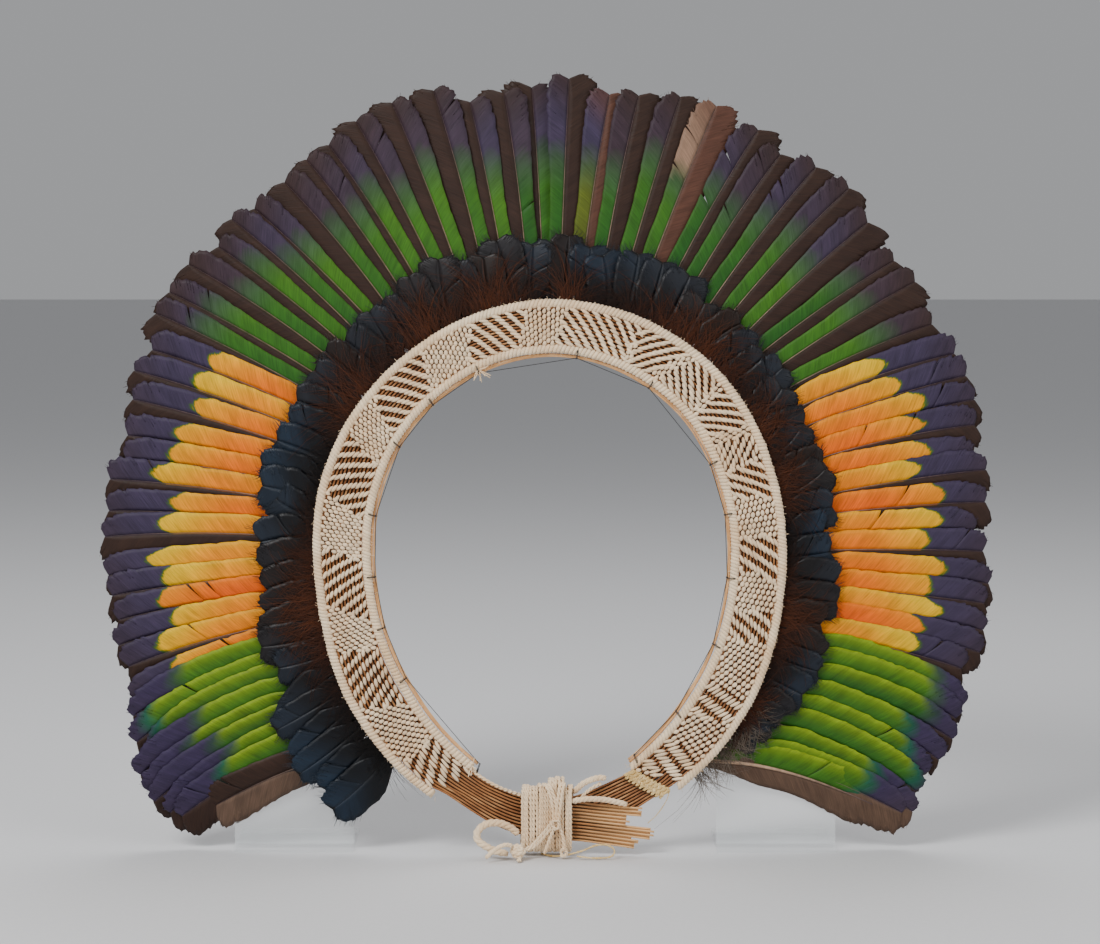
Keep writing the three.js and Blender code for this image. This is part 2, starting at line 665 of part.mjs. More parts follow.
// Free ends of the tie, the knot on the ground and the fibre loop
function cord(points, thick) {
  const curve = new THREE.CatmullRomCurve3(points.map(([right, front, high]) => new THREE.Vector3(
    CENTRE_X + right, feathersY - front, tieFoot + high)));
  const length = curve.getLength();
  return new THREE.ExtrudeGeometry(oval(thick, thick, 6), {
    steps: Math.round(clamp(length / (2.5 * thick), 6, 18)), bevelEnabled: false, extrudePath: curve,
  });
}
add('tie_end_upper', cord(tieEndUpper, CORD * 0.8), looks.cotton);
add('tie_end_lower', cord(tieEndLower, CORD * 0.8), looks.cotton);
add('tie_loop', cord(tieLoop, CORD), looks.cotton);
add('tie_end_floor', cord(tieEndFloor, CORD * 0.6), looks.cotton);
add('fibre_loop', cord(fibreLoop, FIBRE), looks.cane);

const [knotRight, knotFront, knotHigh] = knotPlace;
const knot = new THREE.SphereGeometry(KNOT / 2, 10, 8);
add('tie_knot', knot.translate(CENTRE_X + knotRight, feathersY - knotFront, tieFoot + knotHigh), looks.cotton);

// Clear supports: a sheet bent into a foot and a leaning back, one each side
function supportProfile() {
  const slope = Math.tan(rad(SUPPORT_LEAN));
  const restHeight = CENTRE_HEIGHT - REST_DROP * FEATHER_REACH;
  const back = supportY - slope * restHeight;
  const lean = slope * SUPPORT_HIGH;
  const front = feathersY - 3;
  return new THREE.Shape([
    new THREE.Vector2(front, 0),
    new THREE.Vector2(front + SUPPORT_FOOT, 0),
    new THREE.Vector2(front + SUPPORT_FOOT, SHEET),
    new THREE.Vector2(back + SHEET, SHEET),
    new THREE.Vector2(back + SHEET + lean, SUPPORT_HIGH),
    new THREE.Vector2(back + lean, SUPPORT_HIGH),
    new THREE.Vector2(back, SHEET),
    new THREE.Vector2(front, SHEET),
  ]);
}

function support(x) {
  const geometry = new THREE.ExtrudeGeometry(supportProfile(), { depth: SUPPORT_WIDE, bevelEnabled: false });
  // The profile's (y, z) plane is turned upright and its depth laid along x
  const turn = new THREE.Matrix4().set(0, 0, 1, x, 1, 0, 0, 0, 0, 1, 0, 0, 0, 0, 0, 1);
  return geometry.applyMatrix4(turn);
}
add('support_left', support(CENTRE_X + SUPPORT_LEFT * FEATHER_REACH), looks.clear);
add('support_right', support(CENTRE_X + SUPPORT_RIGHT * FEATHER_REACH), looks.clear);

export default headdress;
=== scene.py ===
from math import cos, pi, radians, sin, tau

import bpy
import numpy as np
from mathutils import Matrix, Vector


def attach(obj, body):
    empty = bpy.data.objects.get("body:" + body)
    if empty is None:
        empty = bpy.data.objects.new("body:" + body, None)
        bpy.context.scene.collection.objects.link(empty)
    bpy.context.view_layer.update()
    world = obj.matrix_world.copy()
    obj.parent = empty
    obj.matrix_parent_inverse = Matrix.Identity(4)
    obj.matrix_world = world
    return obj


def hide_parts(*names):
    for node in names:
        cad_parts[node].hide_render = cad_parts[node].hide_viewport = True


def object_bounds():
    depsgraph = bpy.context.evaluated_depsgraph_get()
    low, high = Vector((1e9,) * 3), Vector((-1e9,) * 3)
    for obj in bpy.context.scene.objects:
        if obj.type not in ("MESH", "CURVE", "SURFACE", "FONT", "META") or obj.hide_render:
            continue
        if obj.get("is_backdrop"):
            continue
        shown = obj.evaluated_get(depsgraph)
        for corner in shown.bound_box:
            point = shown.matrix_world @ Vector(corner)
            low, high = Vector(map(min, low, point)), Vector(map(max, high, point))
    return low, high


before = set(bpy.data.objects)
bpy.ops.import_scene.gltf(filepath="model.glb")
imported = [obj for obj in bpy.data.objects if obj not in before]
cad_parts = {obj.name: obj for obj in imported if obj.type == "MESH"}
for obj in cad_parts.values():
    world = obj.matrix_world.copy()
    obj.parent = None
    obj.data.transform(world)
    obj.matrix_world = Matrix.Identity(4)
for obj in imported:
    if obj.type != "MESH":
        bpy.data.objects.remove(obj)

cad_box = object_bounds()
MM = 0.001

# Sizes shared with the solids
OPENING_RADIUS = 129
BAND_WIDTH = 34
FEATHER_REACH = 296
CENTRE = (2, 184)
CLEARANCE = 0.3
RIM_WIDE = 5
RIM_DEEP = 5.4
OUTER_VANE = 11
INNER_VANE = 18
FEATHER_BOW = 4
SIDE_CURVE = 1
LOW_CURVE = 12
COVER_WIDTH = 21
COVER_LENGTH = 46
QUILL_SEAT = 3
LASHING_WIDE = 4
LASHING_THICK = 2.4
VANE_THICK = 0.22
TAILS_WIDE = 23.8
CORD = 5
TIE_DEEP = 18.8
TIE_HIGH = 43
FIBRE = 1.6

# Depths from front to back
FEATHERS_Y = -10
LASHING_Y = -14.2
COVER_LASHING_Y = -16.9
COVER_Y = -15.2
RIM_Y = -21.1
MAT_Y = -20
WEAVE_Y = -22.2
TIE_Y = -19.85

# The camera stands where the photograph's did
CAMERA_AIM = (3.4, -10, 238.7)
CAMERA_AWAY = 1650
CAMERA_RISE = 4.5
VIEW_WIDTH = 682
SENSOR = 36

# How much deeper and purer a vane's own colour is than it looks under soft light
PLUMAGE_DEPTH = 0.62
PLUMAGE_PURITY = 1.2


def linear(colour):
    return tuple((c / 255) ** 2.2 for c in colour)


def plumage(*colour):
    """The colour of a vane that looks like the one given."""
    plain = linear(colour)
    grey = sum(plain) / 3
    return tuple(max(0.0, PLUMAGE_DEPTH * (grey + PLUMAGE_PURITY * (c - grey))) for c in plain)


# Colours of the long vanes
GREEN = plumage(44, 92, 42)
LEAF = plumage(74, 120, 48)
MOSS = plumage(74, 108, 44)
YELLOW_GREEN = plumage(150, 172, 60)
TEAL = plumage(34, 84, 88)
OLIVE = plumage(96, 106, 50)
RUSSET = plumage(96, 68, 58)
TAN = plumage(156, 128, 110)
SAGE = plumage(70, 90, 66)
VIOLET = plumage(70, 62, 82)
DEEP_VIOLET = plumage(66, 58, 82)
ORANGE = plumage(250, 118, 0)
AMBER = plumage(252, 158, 0)
YELLOW = plumage(252, 206, 4)
BROWN = plumage(60, 45, 39)
DUSK = plumage(68, 54, 57)
TAUPE = plumage(104, 84, 72)
PALE_TAUPE = plumage(150, 130, 116)

# Colours of the short feathers, of down, of shafts and of thread, as they look
INK = (13, 17, 23)
# The blue shine of the short dark feathers, painted into their colour as painted sheen
BLUE_SHEEN = (38, 50, 64)
DARK_BROWN = (39, 26, 19)
DOWN = (78, 42, 22)
BLACK_DOWN = (16, 11, 9)
GREY_DOWN = (112, 100, 88)
QUILL = (206, 168, 136)
DARK_QUILL = (142, 116, 98)
SHAFT_TIP = (68, 54, 57)
THREAD = (24, 20, 20)


def blend(a, b, share):
    return tuple(x + (y - x) * share for x, y in zip(a, b))


def between(ends, share):
    return ends[0] + (ends[1] - ends[0]) * share


def unit(vectors):
    return vectors / np.maximum(np.linalg.norm(vectors, axis=-1, keepdims=True), 1e-9)


def smooth_step(value, low, high):
    share = np.clip((value - low) / (high - low), 0, 1)
    return share * share * (3 - 2 * share)


# Band line: bearing, opening as a share of its radius, width as a share of its width
BAND_LINE = np.array([
    (-165, 1.07, 0.95), (-150, 0.985, 1.04), (-130, 0.9, 1.11), (-100, 0.847, 1.03),
    (-70, 0.874, 1.05), (-40, 0.938, 0.97), (0, 1, 0.96), (40, 0.963, 1.0), (70, 0.9, 1.0),
    (100, 0.88, 1.0), (130, 0.935, 1.05), (150, 1.01, 1.01), (165, 1.09, 0.95),
])
BAND_ENDS = {"left": (-160, -154), "right": (158, 150)}


def read_line(bearing, column):
    """A column of the band line at a bearing, on a smooth curve through its rows."""
    knots, values = BAND_LINE[:, 0], BAND_LINE[:, column]
    last = len(knots) - 1
    row = np.clip(np.searchsorted(knots, bearing) - 1, 0, last - 1)
    before, after = np.maximum(row - 1, 0), np.minimum(row + 2, last)
    span = knots[row + 1] - knots[row]
    t = (bearing - knots[row]) / span
    slope_from = (values[row + 1] - values[before]) / (knots[row + 1] - knots[before])
    slope_to = (values[after] - values[row]) / (knots[after] - knots[row])
    start = (2 * t**3 - 3 * t**2 + 1) * values[row] + (t**3 - 2 * t**2 + t) * span * slope_from
    end = (3 * t**2 - 2 * t**3) * values[row + 1] + (t**3 - t**2) * span * slope_to
    return start + end


def band_radius(bearing, share):
    bearing = np.asarray(bearing, float)
    return read_line(bearing, 1) * OPENING_RADIUS + share * read_line(bearing, 2) * BAND_WIDTH


def polar(bearing, radius, y):
    """The point at a bearing, clockwise from the top, and a distance from the middle of the opening."""
    angle = np.radians(bearing)
    x = CENTRE[0] + radius * np.sin(angle)
    z = CENTRE[1] + radius * np.cos(angle)
    return np.stack([x, np.broadcast_to(y, np.shape(x)), z], -1)


def reach_of(points):
    return np.hypot(points[..., 0] - CENTRE[0], points[..., 2] - CENTRE[1])


def end_bearing(end, share):
    return between(BAND_ENDS[end], share)


COLOUR_VALUES = ("near", "rim", "far", "dark", "tint")


def is_vector(name):
    return name == "lay" or name in COLOUR_VALUES


class Form:
    """A mesh gathered from closed shells and tubes, with values carried on its points."""

    def __init__(self):
        self.points = []
        self.faces = []
        self.values = []
        self.count = 0

    def add(self, points, faces, values):
        self.points.append(points.reshape(-1, 3))
        self.faces.append(faces.reshape(-1, 4) + self.count)
        spread = {}
        for name, value in values.items():
            width = (3,) if is_vector(name) else ()
            spread[name] = np.broadcast_to(value, points.shape[:-1] + width).reshape(-1, *width)
        self.values.append(spread)
        self.count += self.points[-1].shape[0]

    def build(self, name, look, slot, *nodes):
        points = np.concatenate(self.points) * MM
        faces = np.concatenate(self.faces).astype(np.int32)
        mesh = bpy.data.meshes.new(name)
        mesh.vertices.add(len(points))
        mesh.vertices.foreach_set("co", points.astype(np.float32).ravel())
        mesh.loops.add(faces.size)
        mesh.loops.foreach_set("vertex_index", faces.ravel())
        mesh.polygons.add(len(faces))
        mesh.polygons.foreach_set("loop_start", np.arange(0, faces.size, 4, dtype=np.int32))
        mesh.polygons.foreach_set("use_smooth", np.ones(len(faces), bool))
        for value in self.values[0]:
            self.carry(mesh, value)
        mesh.update(calc_edges=True)
        mesh.validate()
        mesh.materials.append(look)
        piece = bpy.data.objects.new(name, mesh)
        bpy.context.scene.collection.objects.link(piece)
        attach(piece, "root")
        if nodes:
            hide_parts(*nodes)
        return piece

    def carry(self, mesh, name):
        data = np.concatenate([spread[name] for spread in self.values]).astype(np.float32)
        kind, field = "FLOAT", "value"
        if name == "lay":
            kind, field = "FLOAT_VECTOR", "vector"
        elif name in COLOUR_VALUES:
            kind, field = "FLOAT_COLOR", "color"
            data = np.pad(data, ((0, 0), (0, 1)), constant_values=1)
        mesh.attributes.new(name, kind, "POINT").data.foreach_set(field, data.ravel())


def shell(form, grid, thick, values):
    """A closed thin sheet through a grid of points."""
    rows, columns = grid.shape[:2]
    normal = unit(np.cross(np.gradient(grid, axis=0), np.gradient(grid, axis=1)))
    points = np.stack([grid + normal * thick / 2, grid - normal * thick / 2])
    index = np.arange(rows * columns).reshape(rows, columns)
    quads = np.stack([index[:-1, :-1], index[1:, :-1], index[1:, 1:], index[:-1, 1:]], -1).reshape(-1, 4)
    edge = np.concatenate([index[:-1, 0], index[-1, :-1], index[:0:-1, -1], index[0, :0:-1]])
    after = np.roll(edge, -1)
    behind = rows * columns
    walls = np.stack([after, edge, edge + behind, after + behind], -1)
    form.add(points, np.concatenate([quads, quads[:, ::-1] + behind, walls]), values)


def tubes(form, paths, wide, deep=None, sides=6, reference=(0, 1, 0), turn=0.0, **values):
    """Closed tubes of one point count, with an oval section laid by the reference direction."""
    single = paths.ndim == 2
    paths = paths[None] if single else paths
    count, length = paths.shape[:2]
    wide = np.broadcast_to(np.asarray(wide, float), (count, length))
    deep = wide if deep is None else np.broadcast_to(np.asarray(deep, float), (count, length))
    ahead = unit(np.gradient(paths, axis=1))
    side = unit(np.cross(ahead, np.asarray(reference, float)))
    up = unit(np.cross(side, ahead))
    angle = turn + np.arange(sides) / sides * tau
    points = (paths[:, :, None]
              + (wide[..., None] * np.cos(angle))[..., None] * side[:, :, None]
              + (deep[..., None] * np.sin(angle))[..., None] * up[:, :, None])
    ring = np.arange(length * sides).reshape(length, sides)
    beside = np.roll(ring, -1, axis=1)
    quads = np.stack([ring[:-1], ring[1:], beside[1:], beside[:-1]], -1).reshape(-1, 4)
    cap = np.array([(k, k + 1, sides - 2 - k, sides - 1 - k) for k in range(sides // 2 - 1)])
    one = np.concatenate([quads, cap, cap[:, ::-1] + (length - 1) * sides])
    faces = one[None] + (np.arange(count) * length * sides)[:, None, None]
    spread = {}
    for name, value in values.items():
        value = np.asarray(value, float)
        vector = is_vector(name)
        one_per_point = value.ndim == 2 + vector - single
        spread[name] = np.expand_dims(value, -2 if vector else -1) if one_per_point else value
    form.add(points, faces, spread)


def lay_of(run, side, fibre):
    """Where points lie on their own fibre: how far along it, how far to its side, and which one it is."""
    return np.stack(np.broadcast_arrays(run, side, fibre), -1)


def run_along(path):
    """The length of a line up to each of its points."""
    return np.concatenate([[0], np.cumsum(np.linalg.norm(np.diff(path, axis=0), axis=1))])


def even_points(path, count):
    """Points spaced evenly along a line."""
    run = run_along(path)
    even = np.linspace(0, run[-1], count)
    return np.stack([np.interp(even, run, path[:, k]) for k in range(3)], 1)


def curve_through(points, count):
    """Even points on a smooth curve through the given ones."""
    points = np.asarray(points, float)
    padded = np.concatenate([[2 * points[0] - points[1]], points, [2 * points[-1] - points[-2]]])
    fine = []
    for i in range(len(points) - 1):
        a, b, c, d = padded[i:i + 4]
        t = np.linspace(0, 1, 24, endpoint=False)[:, None]
        fine.append(0.5 * (2 * b + (c - a) * t + (2 * a - 5 * b + 4 * c - d) * t**2
                           + (3 * b - 3 * c + d - a) * t**3))
    return even_points(np.concatenate(fine + [points[-1:]]), count)


PLY_SHARE = 0.54  # a ply's radius as a share of its cord's


def strand(form, path, radius, plies=3, pitch=9.0, sides=6, reference=(0, 1, 0), taper=None, **values):
    """A cord laid from twisted plies along a path."""
    ahead = unit(np.gradient(path, axis=0))
    side = unit(np.cross(ahead, np.asarray(reference, float)))
    up = np.cross(side, ahead)
    run = run_along(path)
    size = radius * (np.ones(len(path)) if taper is None else taper)
    ply = PLY_SHARE * size
    out = (size - ply)[:, None]
    paths = []
    for k in range(plies):
        phase = (run / pitch + k / plies) * tau
        paths.append(path + out * (np.cos(phase)[:, None] * side + np.sin(phase)[:, None] * up))
    lay = lay_of(run, 0.0, np.arange(plies)[:, None] * 7.3)
    tubes(form, np.stack(paths), ply, sides=sides, reference=reference, lay=lay, **values)


class Look:
    """A node material, built from its shader backwards."""

    def __init__(self, name, **fixed):
        self.material = bpy.data.materials.new(name)
        self.material.use_nodes = True
        self.tree = self.material.node_tree
        self.shader = self.tree.nodes["Principled BSDF"]
        for key, value in fixed.items():
            self.shader.inputs[key.replace("_", " ")].default_value = value

    def node(self, kind, inputs=(), output=0, **settings):
        made = self.tree.nodes.new("ShaderNode" + kind)
        for key, value in settings.items():
            setattr(made, key, value)
        for key, value in dict(inputs).items():
            if isinstance(value, bpy.types.NodeSocket):
                self.tree.links.new(value, made.inputs[key])
            else:
                made.inputs[key].default_value = value
        return made.outputs[output]

    def value(self, name):
        return self.node("Attribute", attribute_name=name, output="Fac")

    def colour(self, name):
        return self.node("Attribute", attribute_name=name, output="Color")

    def lay(self, scale):
        at = self.node("Attribute", attribute_name="lay", output="Vector")
        return self.node("VectorMath", {0: at, 1: scale}, operation="MULTIPLY")

    def place(self):
        return self.node("TexCoord", output="Object")

    def noise(self, vector, scale, detail=3.0, rough=0.5):
        return self.node("TexNoise", {"Vector": vector, "Scale": scale, "Detail": detail, "Roughness": rough})

    def math(self, operation, a, b):
        return self.node("Math", {0: a, 1: b}, operation=operation)

    def ramp(self, value, low, high, to_low=0.0, to_high=1.0):
        return self.node("MapRange", {
            "Value": value, "From Min": low, "From Max": high, "To Min": to_low, "To Max": to_high})

    def mix(self, share, *colours):
        a, b = (c if isinstance(c, bpy.types.NodeSocket) else (*c, 1) for c in colours)
        return self.node("Mix", {0: share, 6: a, 7: b}, output=2, data_type="RGBA")

    def shade(self, colour, value, dark, light):
        """The colour made darker or lighter by a value from 0 to 1."""
        grey = self.ramp(value, 0.25, 0.75, dark, light)
        return self.node("VectorMath", {0: colour, "Scale": grey}, operation="SCALE")

    def finish(self, colour, roughness, height, distance):
        """Joins colour, roughness and a bump of the given depth in metres, and gives the material."""
        links = self.tree.links
        links.new(colour, self.shader.inputs["Base Color"])
        links.new(roughness, self.shader.inputs["Roughness"])
        bump = self.node("Bump", {"Height": height, "Distance": distance, "Strength": 0.8})
        links.new(bump, self.shader.inputs["Normal"])
        return self.material


def feather_look(name, roughness, sheen, coat):
    """Barbs that go from the near colour through a rim to the far one, with a darker upper edge."""
    look = Look(name, Sheen_Weight=sheen, Sheen_Roughness=0.4, Coat_Weight=coat, Coat_Roughness=0.35,
                Specular_IOR_Level=0.2)
    barbs = look.noise(look.lay((1.5, 0.09, 1.0)), 1.0, 2.0)
    broad = look.noise(look.lay((0.16, 0.08, 1.0)), 1.0, 3.0)
    ragged = look.math("MULTIPLY", look.math("SUBTRACT", barbs, 0.5), 0.55)
    drift = look.math("MULTIPLY", look.math("SUBTRACT", broad, 0.5), 0.9)
    turn = look.math("ADD", look.value("change"), look.math("ADD", ragged, drift))
    soft = look.value("soft")
    first = look.ramp(look.math("DIVIDE", turn, soft), -0.5, 0.5)
    second = look.ramp(look.math("DIVIDE", look.math("SUBTRACT", turn, soft), soft), -0.5, 0.5)
    colour = look.mix(first, look.colour("near"), look.colour("rim"))
    colour = look.mix(second, colour, look.colour("far"))
    edge = look.ramp(look.math("ADD", look.value("side"), ragged), -0.2, 0.8)
    colour = look.mix(edge, colour, look.colour("dark"))
    colour = look.shade(colour, broad, 0.8, 1.2)
    colour = look.shade(colour, barbs, 0.72, 1.25)
    rough = look.ramp(barbs, 0.3, 0.7, roughness - 0.1, roughness + 0.12)
    return look.finish(colour, rough, barbs, 0.00025)


def fibre_look(name, roughness, sheen):
    """Plain streaked fibre in the colour that its points carry."""
    look = Look(name, Sheen_Weight=sheen, Sheen_Roughness=0.5, Specular_IOR_Level=0.25)
    streak = look.noise(look.lay((0.3, 2.0, 1.0)), 1.0, 2.0)
    colour = look.shade(look.colour("tint"), streak, 0.65, 1.35)
    rough = look.ramp(streak, 0.3, 0.7, roughness - 0.1, roughness + 0.1)
    return look.finish(colour, rough, streak, 0.0001)


def cotton_look():
    look = Look("cotton", Sheen_Weight=0.35, Sheen_Roughness=0.6, Specular_IOR_Level=0.2)
    twist = look.noise(look.lay((2.2, 6.0, 1.0)), 1.0, 3.0, 0.6)
    fuzz = look.noise(look.place(), 2600.0, 3.0, 0.6)
    stain = look.noise(look.place(), 55.0, 3.0)
    colour = look.mix(look.ramp(stain, 0.35, 0.7), linear((250, 224, 186)), linear((236, 200, 154)))
    colour = look.node("VectorMath", {0: colour, 1: look.colour("tint")}, operation="MULTIPLY")
    colour = look.shade(colour, twist, 0.84, 1.1)
    height = look.math("ADD", twist, look.math("MULTIPLY", fuzz, 0.6))
    return look.finish(colour, look.ramp(fuzz, 0.3, 0.7, 0.82, 0.98), height, 0.0005)


def splint_look(name, deep, middle, pale, roughness):
    """Split wood with a long grain, paler in blotches and at its cut ends."""
    look = Look(name, Specular_IOR_Level=0.35)
    grain = look.noise(look.lay((0.035, 2.4, 1.0)), 1.0, 4.0, 0.65)
    blotch = look.noise(look.lay((0.05, 0.2, 1.0)), 1.0, 2.0)
    colour = look.mix(look.ramp(grain, 0.3, 0.62), linear(deep), linear(middle))
    colour = look.mix(look.ramp(blotch, 0.52, 0.75), colour, linear(pale))
    colour = look.mix(look.value("cut"), colour, linear((226, 176, 120)))
    return look.finish(colour, look.ramp(grain, 0.3, 0.7, roughness + 0.12, roughness - 0.12), grain, 0.0004)


def clear_look():
    look = Look("clear_sheet", Alpha=0.16, IOR=1.49, Base_Color=(0.9, 0.94, 0.95, 1))
    scuff = look.noise(look.place(), 90.0, 5.0, 0.7)
    rough = look.ramp(scuff, 0.5, 0.8, 0.02, 0.12)
    look.tree.links.new(rough, look.shader.inputs["Roughness"])
    bump = look.node("Bump", {"Height": scuff, "Distance": 0.00002, "Strength": 0.1})
    look.tree.links.new(bump, look.shader.inputs["Normal"])
    return look.material


vane_look = feather_look("feather_vane", 0.55, 0.02, 0.0)
dark_look = feather_look("dark_vane", 0.46, 0.08, 0.06)
down_look = fibre_look("down", 0.85, 0.04)
shaft_look = fibre_look("shaft", 0.4, 0.0)
thread_look = fibre_look("thread", 0.6, 0.2)
yarn_look = cotton_look()
splint_finish = splint_look("splint", (104, 62, 34), (168, 112, 66), (204, 152, 100), 0.55)
# A darker copy of the splint for the rear strips: painted shade that shows in the gaps between the front
# strips
shade_finish = splint_look("shaded_splint", (38, 24, 16), (70, 46, 30), (88, 60, 40), 0.7)
cane_finish = splint_look("cane", (178, 126, 78), (220, 170, 116), (236, 196, 148), 0.5)
tow_finish = splint_look("tow", (196, 160, 98), (226, 196, 136), (240, 220, 176), 0.7)
clear_finish = clear_look()


# Camera
def set_camera():
    aim = Vector(CAMERA_AIM) * MM
    rise = radians(CAMERA_RISE)
    away = Vector((0, -cos(rise), sin(rise))) * CAMERA_AWAY * MM
    camera = bpy.data.objects.new("camera", bpy.data.cameras.new("camera"))
    camera.data.sensor_width = SENSOR
    camera.data.lens = SENSOR * CAMERA_AWAY / VIEW_WIDTH
    camera.location = aim + away
    camera.rotation_euler = (-away).to_track_quat("-Z", "Y").to_euler()
    bpy.context.scene.collection.objects.link(camera)
    bpy.context.scene.camera = camera


set_camera()


# Cords: points right of the centre, in front of the feathers' face and above the ground
TIE_END_UPPER = [
    (16.2, 10, 39.8), (18.4, 11, 42), (22, 12, 45.5), (27, 12.5, 48), (32, 12.5, 49.3), (36, 12.3, 49)]
TIE_END_LOWER = [
    (15.4, 15.6, 35), (21, 15.8, 36.3), (28, 15.8, 36.6), (36, 15.6, 36), (43, 15.2, 34.5), (49, 15, 33)]
TIE_LOOP = [
    (-18.5, 16.4, 15), (-23, 17, 18.8), (-30, 18.5, 22), (-38, 19.5, 21.6), (-43.2, 20.5, 17.5),
    (-43.4, 21.5, 12.2), (-38.5, 22.5, 8.3), (-32, 23.5, 5.5), (-24.8, 24, 4)]
TIE_END_FLOOR = [(-22.2, 28.6, 10), (-26, 30.5, 11), (-30.5, 31.5, 9.5), (-34.5, 32, 6.5), (-38, 32.5, 3.2)]
FIBRE_LOOP = [
    (-4, 9, 0.85), (1, 15.5, 0.9), (8, 21.2, 1.9), (15, 21.5, 3.4), (22, 22, 5.6), (30, 22, 8.8),
    (37.5, 22, 8.8), (41.5, 22.5, 5.4), (39, 23.5, 2), (32, 24.2, 1.3), (25, 24.6, 1.6), (18, 24.8, 2.6)]
KNOT_PLACE = (-18.5, 26, 6)
CORD_PITCH = 2.1  # a ply's turn, as a share of its cord's thickness


def placed(points):
    """Points of a cord's list, in the scene's own axes."""
    return [(CENTRE[0] + right, FEATHERS_Y - front, high) for right, front, high in points]


def free_cord(name, points, thick, count, look, slot, far_end=None, plies=3, tint=(1, 1, 1)):
    path = curve_through(placed(points), count)
    form = Form()
    share = np.linspace(0, 1, count)
    taper = 1 - 0.25 * smooth_step(share, 0.93, 1)
    strand(form, path, thick / 2, plies, thick * CORD_PITCH, taper=taper, tint=tint, cut=0.0)
    piece = form.build(name + "_cord", look, slot, name)
    if far_end:
        metres = [tuple(p) for p in (path * MM).tolist()]
        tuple(metres[0])
        float(run_along(path)[-1]) * MM


KNOT_TURNS = [  # tilt, heading, radius
    (0.2, 0.0, 3.5), (1.2, 0.9, 3.4), (0.8, 2.2, 3.3), (1.5, 3.3, 3.2), (0.5, 4.4, 3.0), (1.1, 5.4, 2.6)]
KNOT_TAIL = [(0.5, -1.5, -2), (1, -3.5, -3.4), (0.6, -5.6, -4.2), (1.2, -7.5, -4.3)]  # from the knot's middle


def make_knot():
    """Turns of yarn wound into a ball, with a short end on the ground."""
    form = Form()
    middle = np.array(placed([KNOT_PLACE]))[0]
    turn = np.linspace(0, tau, 26)
    for tilt, heading, size in KNOT_TURNS:
        ring = np.stack([np.cos(turn), np.sin(turn) * cos(tilt), np.sin(turn) * sin(tilt)], 1) * size
        x = ring[:, 0] * cos(heading) - ring[:, 1] * sin(heading)
        y = ring[:, 0] * sin(heading) + ring[:, 1] * cos(heading)
        path = middle + np.stack([x, y, ring[:, 2]], 1)
        strand(form, path, 1.7, 2, 6, reference=(0.3, 0.5, 0.8), tint=(1.02, 1.02, 1.02))
    tail = curve_through(middle + np.array(KNOT_TAIL), 14)
    strand(form, tail, 1.4, 2, 5, tint=(1.03, 1.03, 1.03))
    return form.build("tie_knot_yarn", yarn_look, "cotton", "tie_knot")


knot = make_knot()
free_cord("tie_end_upper", TIE_END_UPPER, CORD * 0.8, 20, yarn_look, "cotton")
free_cord("tie_end_lower", TIE_END_LOWER, CORD * 0.8, 24, yarn_look, "cotton", "bare")
free_cord("tie_loop", TIE_LOOP, CORD, 40, yarn_look, "cotton", "knot")
free_cord("tie_end_floor", TIE_END_FLOOR, CORD * 0.6, 16, yarn_look, "cotton", tint=(1.05, 1.05, 1.05))
free_cord("fibre_loop", FIBRE_LOOP, FIBRE, 40, tow_finish, "cane", "bare", plies=2)


# Feathers: side, count, bearings at quill and tip, reach, louvre, how far set behind the others
FLIGHT_FANS = [
    (-1, 1, (0.9, 0.9), (1.9, 1.9), (0.993, 0.993), 0, 3),
    (-1, 4, (4.2, 16.8), (5.2, 19), (0.998, 1.0), 7, 0),
    (-1, 4, (20.4, 31.6), (23, 35.3), (0.997, 0.99), 7, 0),
    (-1, 4, (35.4, 46.2), (39, 49.7), (0.985, 0.97), 7, 0),
    (-1, 4, (50, 61.5), (54, 65.5), (0.965, 0.95), 7, 0),
    (-1, 4, (65.3, 77), (69.3, 80), (0.955, 0.935), 7, 0),
    (-1, 4, (81, 93), (84, 95), (0.935, 0.94), 7, 0),
    (-1, 4, (97, 108.5), (98.7, 108.4), (0.935, 0.94), 8, 0),
    (-1, 4, (112, 121.3), (111.4, 118.4), (0.95, 0.972), 10, 0),
    (-1, 3, (124.4, 130.6), (120.4, 123.6), (0.975, 0.985), 13, 0),
    (-1, 2, (134, 139.5), (125.1, 126.8), (0.98, 0.9), 14, 0),
    (1, 4, (2.7, 15.3), (2.3, 16.5), (0.998, 0.997), 7, 0),
    (1, 4, (19.2, 32), (21, 34.8), (1.0, 1.0), 7, 0),
    (1, 5, (36.3, 53.3), (39, 57.7), (0.998, 0.968), 7, 0),
    (1, 4, (57.5, 69), (62.3, 72.3), (0.955, 0.94), 7, 0),
    (1, 4, (72.8, 84.3), (75.8, 85.8), (0.94, 0.925), 7, 0),
    (1, 4, (88, 99.5), (89.3, 99), (0.92, 0.925), 7, 0),
    (1, 4, (103.3, 115), (102.3, 112), (0.93, 0.935), 8, 0),
    (1, 4, (118.8, 130), (114.8, 122.4), (0.942, 0.95), 11, 0),
    (1, 3, (134, 143), (124.2, 126.4), (0.965, 0.9), 13, 1),
]
COVER_RUNS = [
    (-1, 5, (3.6, 22), (0.78, 0.82)), (-1, 5, (26.6, 46), (0.82, 0.84)),
    (-1, 5, (50.6, 70), (0.82, 0.78)), (-1, 5, (74.6, 94), (0.7, 0.68)),
    (-1, 5, (98.6, 118), (0.72, 0.9)), (-1, 5, (122.6, 141), (1.0, 1.1)),
    (1, 5, (3.6, 22), (0.78, 0.78)), (1, 5, (26.6, 46), (0.74, 0.66)),
    (1, 5, (50.6, 70), (0.66, 0.7)), (1, 5, (74.6, 94), (0.64, 0.64)),
    (1, 5, (98.6, 118), (0.7, 0.68)), (1, 3, (122.6, 131), (0.55, 0.3)),
]
SIDE_NAMES = {-1: "left", 1: "right"}


